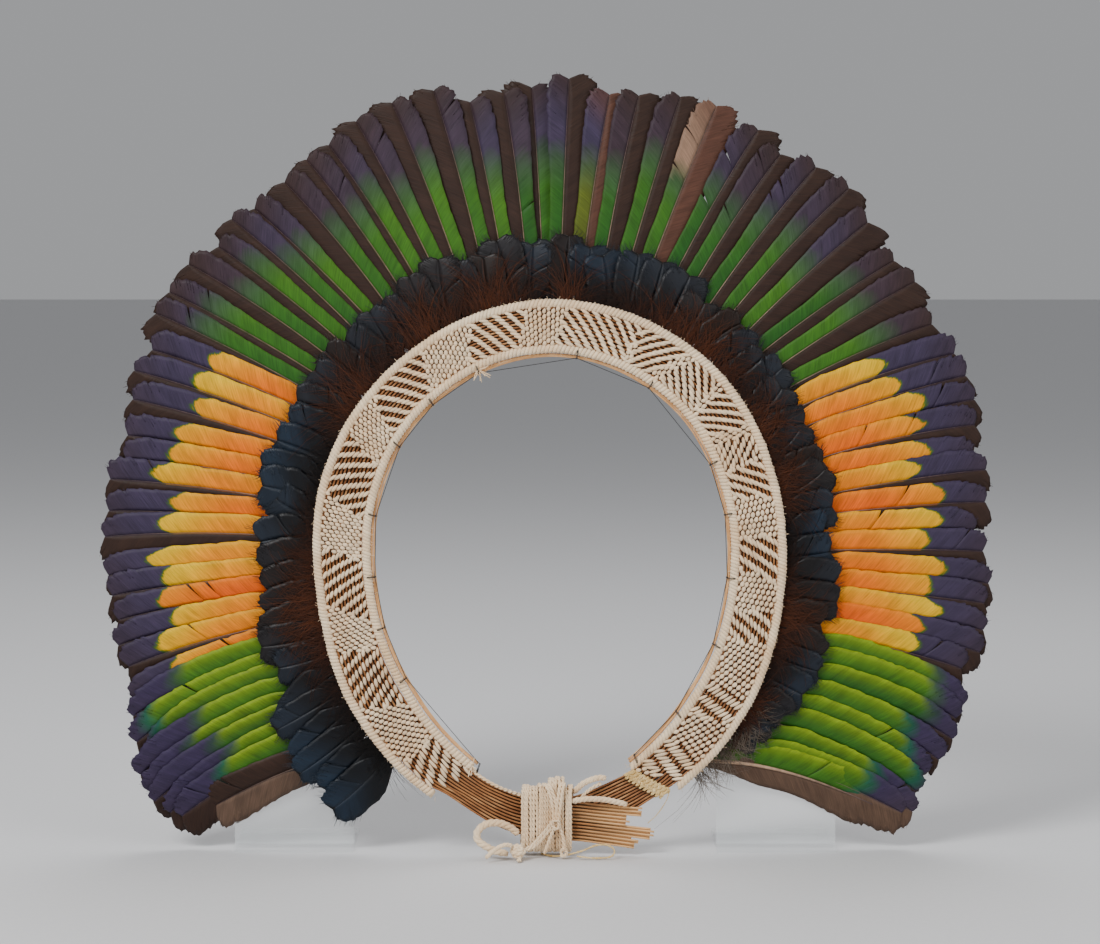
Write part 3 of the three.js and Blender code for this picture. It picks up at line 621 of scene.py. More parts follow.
def named_rows(rows, kind):
    """Each row's place in the list, the row, and its node's name, counted down each side."""
    counted = {-1: 0, 1: 0}
    for number, row in enumerate(rows):
        counted[row[0]] += 1
        yield number, row, f"{kind}_{SIDE_NAMES[row[0]]}_{counted[row[0]]}"


def feather_frame(spine, side, louvre):
    """Along each point of a spine: ahead, across towards the lower side, and through to the back."""
    flat = np.gradient(spine, axis=0) * (1, 0, 1)
    ahead = unit(flat)
    down = np.stack([ahead[:, 2], np.zeros(len(spine)), -ahead[:, 0]], 1) * side
    lean = radians(louvre)
    across = down * cos(lean) + np.array([0, sin(lean), 0])
    through = unit(np.cross(ahead, across))
    through *= np.sign(through[:, 1:2])
    return ahead, across, through


def steps_along(rows):
    """Shares of a feather's length, closer together towards its tip."""
    even = np.linspace(0, 1, rows)
    return 0.5 * even + 0.5 * np.sin(even * pi / 2)


def vane(form, feather, sign, rng):
    """One side of a feather: barbs that leave the shaft in panels, parted by notches at the edge."""
    rows = feather["rows"]
    share = steps_along(rows)
    spine, (ahead, across, through) = feather["spine"], feather["frame"]
    ragged = feather["ragged"] * (1 + 2.5 * smooth_step(share, 0.7, 1))
    width = feather["width"][sign](share) * (1 + 0.02 * rng.normal(size=rows) * ragged)
    reach = np.linspace(0, 1, feather["columns"])
    notches = np.sort(rng.choice(np.arange(rows // 3, rows - 6), feather["notches"][sign], replace=False))
    bounds = [0, *notches.tolist(), rows - 1]
    length = run_along(spine)[-1]
    for first, last in zip(bounds[:-1], bounds[1:]):
        if last - first < 2:
            continue
        part = slice(first, last + 1)
        from_start = np.arange(last - first + 1)[:, None]
        depth = rng.uniform(0.1, 0.65)
        parted = np.clip((reach - depth) / (1 - depth), 0, 1)
        gap = feather["gap"] * rng.uniform(0.3, 1.0)
        pull = np.zeros((last - first + 1, 1))
        if first > 0:
            pull += gap * np.exp(-from_start / 2.0)
        if last < rows - 1:
            pull -= gap * np.exp(-from_start[::-1] / 2.0)
        w = width[part, None] * reach
        forward = feather["slant"] * w * (1 - 0.15 * reach) + pull * parted
        lift = feather["camber"] * reach**2 + rng.uniform(-0.4, 0.4) * parted * (first > 0)
        wave = 0.18 * np.sin(share[part, None] * feather["waves"] + feather["seed"]) * reach
        grid = (spine[part, None]
                + sign * w[..., None] * across[part, None]
                + forward[..., None] * ahead[part, None]
                + (lift + wave)[..., None] * through[part, None])
        lay = lay_of(share[part, None] * length, sign * w, feather["seed"])
        values = feather["paint"](reach_of(grid), sign * w, np.broadcast_to(share[part, None], w.shape))
        shell(form, grid, VANE_THICK, {"lay": lay, **values})


def add_vanes(form, feather, rng):
    for sign in (1, -1):
        vane(form, feather, sign, rng)


def width_of(full, waist, tip, power, rise=0.3):
    """A vane's width along its shaft: narrow at the quill, then a waist, then full and round at the tip."""
    def width(share):
        foot = 0.35 + 0.65 * smooth_step(share, 0, rise)
        body = waist + (1 - waist) * smooth_step(share, 0.42, 0.84)
        end = np.clip((share - tip) / (1 - tip), 0, 1)
        return full * foot * body * np.maximum(1 - end**power, 0.004) ** 0.5
    return width


def add_fringe(form, feather, number, reach, start, rng):
    """Loose barbs that stand past a feather's edges."""
    rows = feather["rows"]
    row = rng.integers(round(rows * start), rows - 1, number)
    share = steps_along(rows)[row]
    sign = rng.choice([-1, 1], number)
    ahead, across, through = (part[row][:, None] for part in feather["frame"])
    wide = np.where(sign < 0, feather["width"][-1](share), feather["width"][1](share))
    step = np.linspace(0, 1, 5)
    foot = wide * rng.uniform(0.5, 0.9, number)
    out = foot[:, None] + (wide - foot + reach * rng.uniform(0.1, 0.8, number))[:, None] * step
    forward = feather["slant"] * out * 0.85 + (rng.uniform(0, 1.4, number) * reach)[:, None] * step**2
    lift = feather["camber"] * (out / wide[:, None].clip(3)) ** 2 - 0.2
    side = sign[:, None] * out
    path = (feather["spine"][row][:, None] + side[..., None] * across
            + forward[..., None] * ahead + lift[..., None] * through)
    lay = lay_of(share[:, None] * 100, side, feather["seed"])
    values = feather["paint"](reach_of(path), side, np.broadcast_to(share[:, None], out.shape))
    tubes(form, path, 0.2 * (1 - 0.7 * step), 0.09, 4, lay=lay, **values)


def add_shaft(form, feather, thick, colours):
    """A tapering shaft in front of a feather's spine, in two colours from quill to tip."""
    share = steps_along(feather["rows"])[::2]
    path = (feather["spine"] - feather["frame"][2] * 0.15)[::2]
    tint = [blend(linear(colours[0]), linear(colours[1]), s) for s in share]
    tubes(form, path, thick * (1 - 0.8 * share), tint=tint, lay=lay_of(share * 100, 0, feather["seed"]))


# Families of flight feathers, by how many degrees down the side they stand
TOP_TO, SIDES_TO, LOW_TO = 54, 110, 137


def flight_family(quill, side, rng):
    if quill < TOP_TO:
        return top_colours(quill, side, rng)
    if quill < SIDES_TO:
        return side_colours(rng)
    if quill < LOW_TO or side > 0:
        return low_colours(quill, side, rng)
    return brown_colours(rng)


def top_colours(quill, side, rng):
    """Green to violet, with an olive and a tan feather right of the top."""
    near = blend(GREEN, LEAF, rng.uniform(0, 1))
    far = blend(VIOLET, DUSK, rng.uniform(0.1, 0.8))
    dark = BROWN
    if side > 0 and 5 < quill < 9:
        near, far, dark = OLIVE, VIOLET, RUSSET
    if side > 0 and 17 < quill < 21:
        far, dark = TAN, RUSSET
    return {
        "near": near, "edge": blend(near, YELLOW_GREEN, 0.5), "rim": blend(near, SAGE, 0.8), "far": far,
        "dark": dark, "change": 240 + rng.uniform(-9, 9), "soft": 1.6, "bow": 4, "outer": OUTER_VANE + 1.5,
        "waist": 0.66, "edge_share": 0.3, "glow": 0.2, "brown_tip": 0.75, "tip": (0.82, 0.9),
    }


def side_colours(rng):
    """Orange to yellow, then violet behind a thin green rim."""
    share = rng.choice([0.0, 0.35, 0.7, 1.0]) + rng.normal(0, 0.08)
    near = blend(ORANGE, AMBER, min(max(share, 0), 1))
    return {
        "near": near, "edge": YELLOW, "rim": MOSS, "far": VIOLET, "dark": BROWN,
        "change": 245 + rng.uniform(-9, 9), "soft": 0.18, "bow": rng.uniform(5, 15), "outer": OUTER_VANE + 3,
        "waist": 0.88, "edge_share": 0.3 + 0.65 * share, "glow": 0.9, "brown_tip": 0.4, "tip": (0.76, 0.86),
    }


def low_colours(quill, side, rng):
    """Green with yellow-green edges, then violet, some by way of teal."""
    near = blend(GREEN, LEAF, rng.uniform(0, 0.8))
    rim = blend(near, TEAL if rng.uniform() < 0.4 else DEEP_VIOLET, 0.6)
    return {
        "near": near, "edge": YELLOW_GREEN, "rim": rim, "far": DEEP_VIOLET,
        "dark": TAUPE if quill > 131 and side > 0 else BROWN,
        "change": 250 + rng.normal(0, 9), "soft": 0.8, "bow": 6, "outer": OUTER_VANE + 4,
        "waist": 1.0, "edge_share": 0.9, "glow": 0.0, "brown_tip": 0.2, "tip": (0.62, 0.74),
    }


def brown_colours(rng):
    """Brown undersides at the lower left corner."""
    return {
        "near": BROWN, "edge": TAUPE, "rim": BROWN, "far": BROWN,
        "dark": blend(TAUPE, PALE_TAUPE, rng.uniform(0.0, 0.4)),
        "change": 235, "soft": 2.0, "bow": 0, "outer": OUTER_VANE + 3,
        "waist": 0.9, "edge_share": 0.2, "glow": 0, "brown_tip": 0.0, "tip": (0.75, 0.85),
    }


def painter(family):
    """A function that gives the colours of a family's vane at each point."""
    near, edge = np.array(family["near"]), np.array(family["edge"])
    far, dark = np.array(family["far"]), np.array(family["dark"])

    def paint(radius, side, share):
        towards = np.clip(-side / family["outer"], 0, 1)[..., None]
        close = smooth_step(radius, family["change"] - 45, family["change"])[..., None]
        bow = family["bow"] * (2 * towards[..., 0] - 0.9) ** 2
        lit = np.clip(family["edge_share"] * (towards**3 + family["glow"] * close), 0, 1)
        brown = family["brown_tip"] * smooth_step(share, 0.78, 1)[..., None]
        return {
            "near": near + (edge - near) * lit,
            "rim": np.broadcast_to(family["rim"], radius.shape + (3,)),
            "far": far + (dark - far) * brown,
            "dark": np.broadcast_to(dark, radius.shape + (3,)),
            "change": (radius + bow - family["change"]) / 10,
            "soft": np.full(radius.shape, family["soft"]),
            "side": side,
        }
    return paint


FLIGHT_ROWS = 54


def flight_spine(side, quill, tip, reach, set_back, curve):
    """From the lashing out to the tip, bowed to the back and curved up towards the headdress's top."""
    share = steps_along(FLIGHT_ROWS)
    root = band_radius(side * quill, 1) - QUILL_SEAT - LASHING_WIDE / 2
    rise = smooth_step(share, 0, 0.3)
    y = LASHING_Y + (FEATHERS_Y + set_back - LASHING_Y) * rise + FEATHER_BOW * share**2
    spine = polar(side * between((quill, tip), share), between((root, reach), share), y)
    flat = unit(np.gradient(spine, axis=0) * (1, 0, 1))
    up = np.stack([-flat[:, 2], np.zeros(FLIGHT_ROWS), flat[:, 0]], 1) * side
    return spine + up * (curve * 4 * share * (1 - share))[:, None]


def flight_feather(fan, i, rng):
    side, count, quills, tips, reaches, louvre, set_back = fan
    share = i / (count - 1) if count > 1 else 0
    quill = between(quills, share)
    tip = between(tips, share) + rng.uniform(-0.8, 0.8)
    reach = between(reaches, share) * FEATHER_REACH * (1 + rng.uniform(-0.035, 0.01))
    family = flight_family(quill, side, rng)
    curve = between((SIDE_CURVE, LOW_CURVE), float(smooth_step(quill, 92, 128))) + rng.normal(0, 0.5)
    spine = flight_spine(side, quill, tip, reach, set_back, curve)
    spine[:, 1] += rng.uniform(-0.25, 0.25)
    outer = width_of(family["outer"], family["waist"], rng.uniform(*family["tip"]), rng.uniform(1.6, 2.8))
    inner = width_of(INNER_VANE, 0.78, rng.uniform(0.78, 0.88), rng.uniform(1.7, 2.8))
    return {
        "rows": FLIGHT_ROWS, "columns": 6, "spine": spine,
        "frame": feather_frame(spine, side, louvre + rng.normal(0, 0.8)),
        "quill": quill, "width": {-1: outer, 1: inner}, "ragged": 0.8, "slant": 0.85,
        "notches": {-1: int(rng.choice([0, 1, 2], p=[0.7, 0.24, 0.06])), 1: 0}, "gap": 1.3, "camber": 0.9,
        "waves": 14.0, "seed": rng.uniform(0, 900), "paint": painter(family),
    }


def add_lashing(form, side, quills, y):
    """The wound strip that a run of quills is bound to."""
    count = 60
    bearing = side * np.linspace(quills[0] - 1.5, quills[1] + 1.5, count)
    middle = band_radius(bearing, 1) - QUILL_SEAT - LASHING_WIDE / 2
    pulse = np.tile([0.92, 1.04], count // 2)
    tubes(form, polar(bearing, middle, y), LASHING_WIDE / 2 * pulse, LASHING_THICK / 2 * pulse, 8,
          tint=linear(BLACK_DOWN), lay=lay_of(np.arange(count), 0, 3))


def downy_barbs(form, side, quill, length, bend, foot, front, bow, rise, tint, thick, rng):
    """Thin barbs that start at the band's edge and arch to the front."""
    number = len(quill)
    share = np.linspace(0, 1, 5)
    bearing = side * (quill[:, None] + rng.normal(0, bend, number)[:, None] * share**2)
    radius = band_radius(side * quill, 1)[:, None] - foot + length[:, None] * share
    y = front - rng.uniform(*bow, number)[:, None] * np.sin(pi * share * 0.8) + rise * share
    tint = tint * rng.uniform(0.5, 1.3, number)[:, None]
    wide = rng.uniform(0.1, thick, number)[:, None] * (1 - 0.75 * share)
    fibre = rng.uniform(0, 99, number)[:, None]
    tubes(form, polar(bearing, radius, y), wide, wide * 0.6, 4,
          tint=tint[:, None], lay=lay_of(fibre, fibre, fibre + 0 * share))


def add_grey_barbs(form, side, quills, seed):
    """Grey barbs at the foot of the lowest right vanes."""
    rng = np.random.default_rng(seed)
    quill = rng.uniform(*quills, 170)
    length = rng.uniform(0.3, 1.0, 170) * 25
    tint = np.array(linear(GREY_DOWN))
    downy_barbs(form, side, quill, length, 4, 1, COVER_Y - 0.5, (0, 2.2), 0, tint, 0.22, rng)


def make_fans():
    for number, fan, name in named_rows(FLIGHT_FANS, "flight_feathers"):
        side, quills = fan[0], fan[2]
        form, shafts = Form(), Form()
        for i in range(fan[1]):
            rng = np.random.default_rng(1000 + number * 20 + i)
            feather = flight_feather(fan, i, rng)
            add_vanes(form, feather, rng)
            add_fringe(form, feather, 12, 1.0, 0.7, rng)
            bare = side > 0 and feather["quill"] > 141
            add_shaft(shafts, feather, 1.5 if bare else 0.45, (QUILL if bare else DARK_QUILL, SHAFT_TIP))
        add_lashing(shafts, side, quills, LASHING_Y)
        if side > 0 and quills[1] > 126:
            add_grey_barbs(shafts, side, (max(quills[0], 124), quills[1] + 3), 6000 + number)
        form.build(name + "_vanes", vane_look, "violet_feather", name)
        shafts.build(name + "_shafts", shaft_look, "brown_feather")


make_fans()


# Short dark feathers with brown down between them
DOWN_TUFTS = [  # bearing, half width
    (-12, 8), (-28, 9), (-49, 9), (-100, 17), (4, 4), (34, 15), (58, 8), (72, 7), (103, 11), (126, 6),
]


DOWN_EACH = 70  # barbs of down for each dark feather


def tuft(bearing):
    """How much brown down stands at a bearing, from 0 to 1."""
    return np.max([np.exp(-((bearing - middle) / half) ** 2) for middle, half in DOWN_TUFTS], axis=0)


def dark_paint(bearing, rng):
    """A function that gives a short feather's colours: ink with a painted blue sheen towards the tip, or
    brown in a tuft.
    """
    brown = float(tuft(bearing)) * rng.uniform(0.4, 1.0)
    near = np.array(plumage(*blend(INK, DARK_BROWN, brown)))
    shine = np.array(plumage(*blend(BLUE_SHEEN, DARK_BROWN, brown)))

    def paint(radius, side, share):
        # Painted sheen: the blue shine is painted into the colour from about a third of the way out to near
        # the tip
        lit = (smooth_step(share, 0.35, 0.85) * (1 - smooth_step(share, 0.93, 1)))[..., None]
        base = near + (shine - near) * lit
        tip = np.broadcast_to(plumage(*BLACK_DOWN), base.shape)
        return {
            # The lower half of each short feather, tucked behind the next one, is painted 20% darker: painted
            # shade
            "near": base, "rim": tip, "far": tip, "dark": base * 0.8,
            "change": (share - 0.97) * 20, "soft": np.full(radius.shape, 0.5), "side": side,
        }
    return paint


COVER_ROWS = 24
TOP_COVER = (-1, 2, (-0.4, 3.2), (0.74, 0.74))  # one more feather, over the gap at the top


def cover_feather(run, i, rng):
    side, count, quills, reaches = run
    share = i / (count - 1)
    quill = between(quills, share)
    edge = float(band_radius(side * quill, 1))
    root = edge - QUILL_SEAT - LASHING_WIDE / 2
    reach = edge + between(reaches, share) * COVER_LENGTH * rng.uniform(0.8, 1.1)
    along = steps_along(COVER_ROWS)
    y = between((COVER_LASHING_Y, COVER_Y), smooth_step(along, 0, 0.5)) - 1.2 * np.sin(pi * along)
    y = y + rng.uniform(-0.3, 0.3) * along
    skew = rng.normal(0, 1.6)
    spine = polar(side * (quill + skew * along**2), between((root, reach), along), y)
    half = COVER_WIDTH / 2 + rng.uniform(1, 5)
    return {
        "rows": COVER_ROWS, "columns": 6, "spine": spine, "frame": feather_frame(spine, side, 8),
        "width": {-1: width_of(half, 1, 0.6, 2.2), 1: width_of(half, 1, 0.58, 2.2)},
        "ragged": 1.2, "slant": 0.7, "notches": {-1: int(rng.integers(0, 2)), 1: 0}, "gap": 0.9,
        "camber": 0.8,
        "waves": 8.0, "seed": rng.uniform(0, 900), "paint": dark_paint(side * quill, rng),
    }


def add_down(form, run, rng):
    """Loose brown barbs that rise from between the dark feathers."""
    side, count, quills, reaches = run
    number = DOWN_EACH * count
    quill = rng.uniform(quills[0] - 2, quills[1] + 2, number)
    brown = tuft(side * quill)
    length = rng.uniform(0.25, 0.9, number) * COVER_LENGTH * np.mean(reaches) * (0.5 + 0.72 * brown)
    tint = np.array([blend(linear(BLACK_DOWN), linear(DOWN), float(share)) for share in brown])
    downy_barbs(form, side, quill, length, 5, 3, COVER_LASHING_Y - 1.2, (0.2, 1.6), 1.2, tint, 0.26, rng)


def make_covers():
    for number, run, name in named_rows(COVER_RUNS, "dark_feathers"):
        form, down = Form(), Form()
        for i in range(run[1]):
            rng = np.random.default_rng(3000 + number * 20 + i)
            feather = cover_feather(run, i, rng)
            add_vanes(form, feather, rng)
            add_fringe(form, feather, 40, 3.2, 0.45, rng)
        if number == 0:
            rng = np.random.default_rng(2999)
            feather = cover_feather(TOP_COVER, 0, rng)
            feather["spine"][:, 1] += 1.4
            add_vanes(form, feather, rng)
        add_down(down, run, np.random.default_rng(5000 + number))
        add_lashing(down, run[0], run[2], COVER_LASHING_Y)
        form.build(name + "_vanes", dark_look, "dark_feather", name)
        down.build(name + "_down", down_look, "dark_feather")


make_covers()


# Band: twined yarn with slots between bars, over splints
SLOT_ZONES = [
    # inner from, to, outer from, to, lean, step, gap
    (-161.5, -147, -157, -145, -3, 3.3, 1.5), (-135, -117, -128.5, -113.5, -4, 3.0, 1.5),
    (-108, -89.5, -101, -86, -6, 3.0, 1.5), (-77.5, -60.5, -72, -57, -5.5, 3.0, 1.5),
    (-51, -34, -46, -31, -6.5, 3.0, 1.5), (-22, -7.5, -17.5, -4.5, -7, 2.9, 1.3),
    (1.5, 20.5, 5, 22, -8, 2.5, 0.9), (22, 28.5, 21.5, 34, 10, 2.6, 0.8),
    (31, 44, 35.5, 44, -9, 2.5, 0.8), (45.5, 52, 45.5, 56, 9, 2.5, 0.8),
    (55, 62.5, 57.5, 62.5, -8, 2.4, 0.7), (64, 71, 64, 73.5, 8, 2.8, 1.0),
    (83.5, 92, 83, 95.5, 7, 3.4, 1.5), (104, 113, 103.5, 110.5, 5, 3.2, 1.5),
    (127, 136.5, 124.5, 132, -0.5, 3.7, 1.8), (145, 156, 142.5, 150.5, -1, 3.6, 1.5),
]
RIM_SHARE = RIM_WIDE / BAND_WIDTH
BAR_ROWS = 9
STITCH_SLANT = 24
STITCH_LONG = 1.5  # as a share of the bar's width
STITCH_HALF = 1.06
GRAIN_ZONES = [  # from, to, pitch in degrees, grains in a column, long, half as wide, lean from outward
    (-161, 62, 1.04, 7, 3.2, 1.22, 18), (62, 159, 1.5, 8, 3.3, 1.3, 104),
]


def zone_span(zone, up):
    return between(zone[0:3:2], up), between(zone[1:4:2], up)


def past_the_ends(bearing, up, room):
    return not end_bearing("left", up) + room < bearing < end_bearing("right", up) - room


def in_slots(bearing, up):
    spans = (zone_span(zone, up) for zone in SLOT_ZONES)
    return any(low + 0.3 < bearing < high - 0.3 for low, high in spans)


def lattice_grains():
    """Grains in columns, every other column half a grain further out: bearing, up, long, half, lean."""
    grains = []
    for first, last, pitch, count, long, half, lean in GRAIN_ZONES:
        for k, bearing in enumerate(np.arange(first, last, pitch)):
            for up in np.arange(0.3 + 0.5 * (k % 2), count, 1) / count:
                if not past_the_ends(bearing, up, 0.4) and not in_slots(bearing, up):
                    grains.append((bearing, up, long, half, lean))
    return grains


def bar_stitches():
    """Slanting stitches stacked into bars that lean across the band."""
    stitches = []
    for zone in SLOT_ZONES:
        lean, step, gap = zone[4:]
        foot = min(zone[0], zone[2] - lean) - gap / 2
        for base in np.arange(foot, max(zone[1], zone[3] - lean) + step, step):
            for up in (np.arange(BAR_ROWS) + 0.5) / BAR_ROWS:
                bearing = base + lean * up
                low, high = zone_span(zone, up)
                if low - 0.5 < bearing < high + 0.5 and not past_the_ends(bearing, up, 0.2):
                    long = radians(step - gap) * band_radius(bearing, 0.5) * STITCH_LONG
                    slant = 90 - STITCH_SLANT if lean > 0 else 90 + STITCH_SLANT
                    stitches.append((bearing, up, long, STITCH_HALF, slant))
    return stitches


def make_weave():
    """Every grain and stitch as a short plump yarn in front of the splints."""
    form = Form()
    rng = np.random.default_rng(71)
    stitches = np.array(lattice_grains() + bar_stitches())
    bearing, up, long, half, lean = stitches.T[..., None]
    number = len(stitches)
    lean = np.radians(lean + rng.normal(0, 4, (number, 1)))
    long = long * rng.uniform(0.94, 1.06, (number, 1))
    share = np.linspace(-0.5, 0.5, 5)
    swell = np.array([0.42, 0.9, 1.0, 0.9, 0.42])
    inner, outer = RIM_SHARE, 1 - RIM_SHARE
    at = band_radius(bearing, inner + (outer - inner) * up) + rng.normal(0, 0.1, (number, 1))
    radius = at + share * long * np.cos(lean)
    along = bearing + np.degrees((share * long * np.sin(lean) + rng.normal(0, 0.08, (number, 1))) / at)
    y = WEAVE_Y + 0.15 - 0.5 * np.cos(share * pi) + rng.normal(0, 0.07, (number, 1))
    half = half * swell * rng.uniform(0.94, 1.06, (number, 1))
    lay = lay_of(share * long, 0, rng.uniform(0, 500, (number, 1)))
    tint = rng.uniform(0.84, 1.06, (number, 1, 1)) * np.ones(3)
    tubes(form, polar(along, radius, y), half, half * 0.95, lay=lay, tint=tint)
    form.build("cotton_twining", yarn_look, "cotton", "cotton_weave")


make_weave()


def add_fuzz(form, path, rng):
    """Loose cotton hairs that stand off a yarn."""
    number = 900
    at = path[rng.integers(0, len(path), number)]
    out = unit(rng.normal(size=(number, 3)) * (1, 0.6, 1))
    bend = unit(rng.normal(size=(number, 3)))
    share = np.linspace(0, 1, 3)[None, :, None]
    length = rng.uniform(0.6, 2.2, number)[:, None, None]
    paths = at[:, None] + out[:, None] * (2.4 + length * share) + bend[:, None] * length * 0.5 * share**2
    tubes(form, paths, 0.1, sides=4, lay=(0, 0, 1), tint=(1.05, 1.05, 1.05))


def add_fray(form, bearing, share, number, length, rng):
    """A tuft of cotton ends that has worked loose from a rim."""
    foot = polar(bearing, band_radius(bearing, share), RIM_Y - 1)
    heading = unit(rng.normal(size=(number, 3)) * (1, 0.5, 1) + (0.7, -0.6, -0.6))
    bend = unit(rng.normal(size=(number, 3)))
    step = np.linspace(0, 1, 6)[None, :, None]
    long = rng.uniform(0.4, 1.0, number)[:, None, None] * length
    paths = foot + heading[:, None] * long * step + bend[:, None] * long * 0.5 * step**2
    tubes(form, paths, 0.28, sides=4, lay=(0, 0, 2), tint=(1.04, 1.04, 1.04))


WRAP_PITCH = 2.35
WRAP_STEPS = 10
FRAYS = [(-20, 0.0, 26, 7), (-159.5, 0.05, 14, 6)]  # bearing, share of the width, ends, length


def bound_rim(name, node, share, inset, seed):
    """A rim wound with one long yarn over a core."""
    rng = np.random.default_rng(seed)
    start, end = end_bearing("left", share), end_bearing("right", share)
    line = np.linspace(start, end, 400)
    sway = np.interp(line, np.linspace(start, end, 60), rng.normal(0, 0.16, 60))
    core = polar(line, band_radius(line, share) + inset + sway, RIM_Y)
    wraps = round(float(run_along(core)[-1]) / WRAP_PITCH)
    count = wraps * WRAP_STEPS
    angle = np.arange(count) / WRAP_STEPS * tau
    along = np.linspace(start + 0.2, end - 0.2, count)
    middle = band_radius(along, share) + inset + np.interp(along, line, sway)
    size = 1 + np.repeat(rng.normal(0, 0.04, wraps), WRAP_STEPS)
    path = polar(along + 0.22 * np.cos(angle), middle + 2.1 * size * np.cos(angle),
                 RIM_Y + 1.95 * size * np.sin(angle))
    ahead = np.gradient(polar(along, middle, RIM_Y), axis=0)
    form = Form()
    tint = np.repeat(rng.uniform(0.92, 1.05, wraps), WRAP_STEPS)[:, None] * np.ones(3)
    tubes(form, path, 0.85, 1.2, reference=ahead, lay=lay_of(np.arange(count) * 1.4, 0, seed), tint=tint)
    # The core is the same cotton painted 20% darker: painted shade in the gaps between the wraps
    tubes(form, core, RIM_WIDE / 2 - 0.2, RIM_DEEP / 2 - 0.5, 8, lay=(0, 0, 4), tint=(0.8, 0.8, 0.8))
    add_fuzz(form, core, rng)
    if share == 0:
        for bearing, at, number, length in FRAYS:
            add_fray(form, bearing, at, number, length, rng)
    form.build(name, yarn_look, "cotton", node)


bound_rim("outer_rim_binding", "outer_rim", 1, -RIM_WIDE / 2, 11)
bound_rim("inner_rim_binding", "inner_rim", 0, RIM_WIDE / 2, 12)


# Cane hoop with black thread lashings
THREAD_CORNERS = [-161.5, -129.5, -112, -95, -75, -52, -36, -20, 8, 30, 59, 75, 95, 116.5, 139.5, 156]


def make_hoop():
    """Two split canes side by side, just inside the inner rim."""
    form = Form()
    rng = np.random.default_rng(5)
    count = 260
    bearing = np.linspace(end_bearing("left", 0) - 1, end_bearing("right", 0), count)
    run = np.linspace(0, 800, count)
    for offset, wide, depth, seed in ((-1.0, 0.95, 0.9, 1), (-2.1, 0.6, 0.75, 8)):
        sway = np.interp(np.arange(count), np.linspace(0, count, 14), rng.normal(0, 0.35, 14))
        path = polar(bearing, band_radius(bearing, 0) + offset + sway, MAT_Y + CLEARANCE)
        tubes(form, path, wide, depth, lay=lay_of(run, 0, seed), cut=0.0, turn=pi / 6)
    form.build("cane_hoop_strips", cane_finish, "cane", "cane_hoop")


def make_thread():
    """Black thread from corner to corner inside the hoop, lashed twice round hoop and rim at each."""
    form = Form()
    tint = linear(THREAD)
    corners = [polar(b, band_radius(b, 0) - 2.0, MAT_Y - 0.6) for b in THREAD_CORNERS]
    for a, b in zip(corners[:-1], corners[1:]):
        share = np.linspace(0, 1, 12)[:, None]
        path = a + (b - a) * share
        tubes(form, path, 0.2, tint=tint, lay=(0, 0, 0))
    turn = np.linspace(0, tau * 2, 40)
    for bearing in THREAD_CORNERS:
        along = bearing + np.linspace(-0.25, 0.25, 40)
        radius = band_radius(along, 0) + 0.6 + 3.3 * np.cos(turn)
        path = polar(along, radius, RIM_Y + 3.1 * np.sin(turn))
        tubes(form, path, 0.22, reference=(0.3, 0.1, 1), tint=tint, lay=(0, 0, 0))
    form.build("black_thread", thread_look, "dark_feather")


make_hoop()
make_thread()


# Splints: strips along the band that run on into the tails
LEFT_TAILS = [  # right, up, spread, forward
    (-0.47, -1.05, 0.85, 0), (-0.4, -1.095, 0.88, 0.1), (-0.3, -1.155, 1.0, 0.6), (-0.17, -1.215, 1.05, 1),
    (-0.014, -1.25, 1.08, 1), (0.115, -1.255, 1.08, 1), (0.25, -1.27, 1.12, 1), (0.514, -1.3, 1.2, 1),
]
RIGHT_TAILS = [
    (0.58, -1.0, 0.85, 0), (0.52, -1.045, 0.88, 0.1), (0.394, -1.12, 1, 0.8), (0.25, -1.19, 1, 1),
    (0.13, -1.23, 1, 1), (-0.014, -1.25, 1, 1),
]
LEFT_CUTS = [(-0.25, 0.93), (0.02, 1), (0.28, 0.88), (0.5, 0.94)]  # up to an offset, length kept
SPLINTS = 12
SPLINT_STEPS = 260
TAIL_STEPS = 60
LEFT_LATE = 7  # points by which the innermost strips join their tails later than the outermost
RIGHT_LATE = 17
LEFT_TAILS_Y = MAT_Y - 1.5
RIGHT_TAILS_Y = MAT_Y + 1.8
SPLINT_LAYERS = [  # piece, look, shift along the mat, set back, half a strip's width, nodes
    ("splint_strips", splint_finish, 0, -0.6, 0.76, ["splints"]),
    ("rear_splint_strips", shade_finish, 0.5, 0.5, 0.95, []),
]


def tail_path(rows, tails_y, offset, layer, kept):
    """One strip's way through a bundle of tails."""
    right, up, spread, forward = np.array(rows, float).T
    spots = np.stack([CENTRE[0] + right * OPENING_RADIUS, MAT_Y + (tails_y - MAT_Y) * forward,
                      CENTRE[1] + up * OPENING_RADIUS], 1)
    line = curve_through(spots, TAIL_STEPS)
    spread = np.interp(np.linspace(0, 1, TAIL_STEPS), np.linspace(0, 1, len(rows)), spread)
    ahead = unit(np.gradient(line, axis=0))
    across = unit(np.stack([-ahead[:, 2], np.zeros(TAIL_STEPS), ahead[:, 0]], 1))
    path = line + across * (offset * spread * TAILS_WIDE)[:, None]
    path[:, 1] += layer
    return path[:round(TAIL_STEPS * kept)]


def cut_share(offset):
    return next(kept for to, kept in LEFT_CUTS if offset <= to)


def splint_path(offset, layer, rng):
    """A strip from the cut end of its left tail, round the band, to the end of its right tail."""
    share = 0.5 + offset * 0.92
    bearing = np.linspace(end_bearing("left", share), end_bearing("right", share), 130)
    radius = band_radius(bearing, 0.1 + 0.8 * share)
    band = polar(bearing, radius, MAT_Y + layer)
    left = tail_path(LEFT_TAILS, LEFT_TAILS_Y, -offset, layer, cut_share(-offset) * rng.uniform(0.97, 1.0))
    right = tail_path(RIGHT_TAILS, RIGHT_TAILS_Y, offset, layer, 1)
    inward = 0.5 - offset
    left = left[1 + round(LEFT_LATE * inward):]
    right = right[1 + round(RIGHT_LATE * inward):]
    return np.concatenate([left[::-1], band, right])


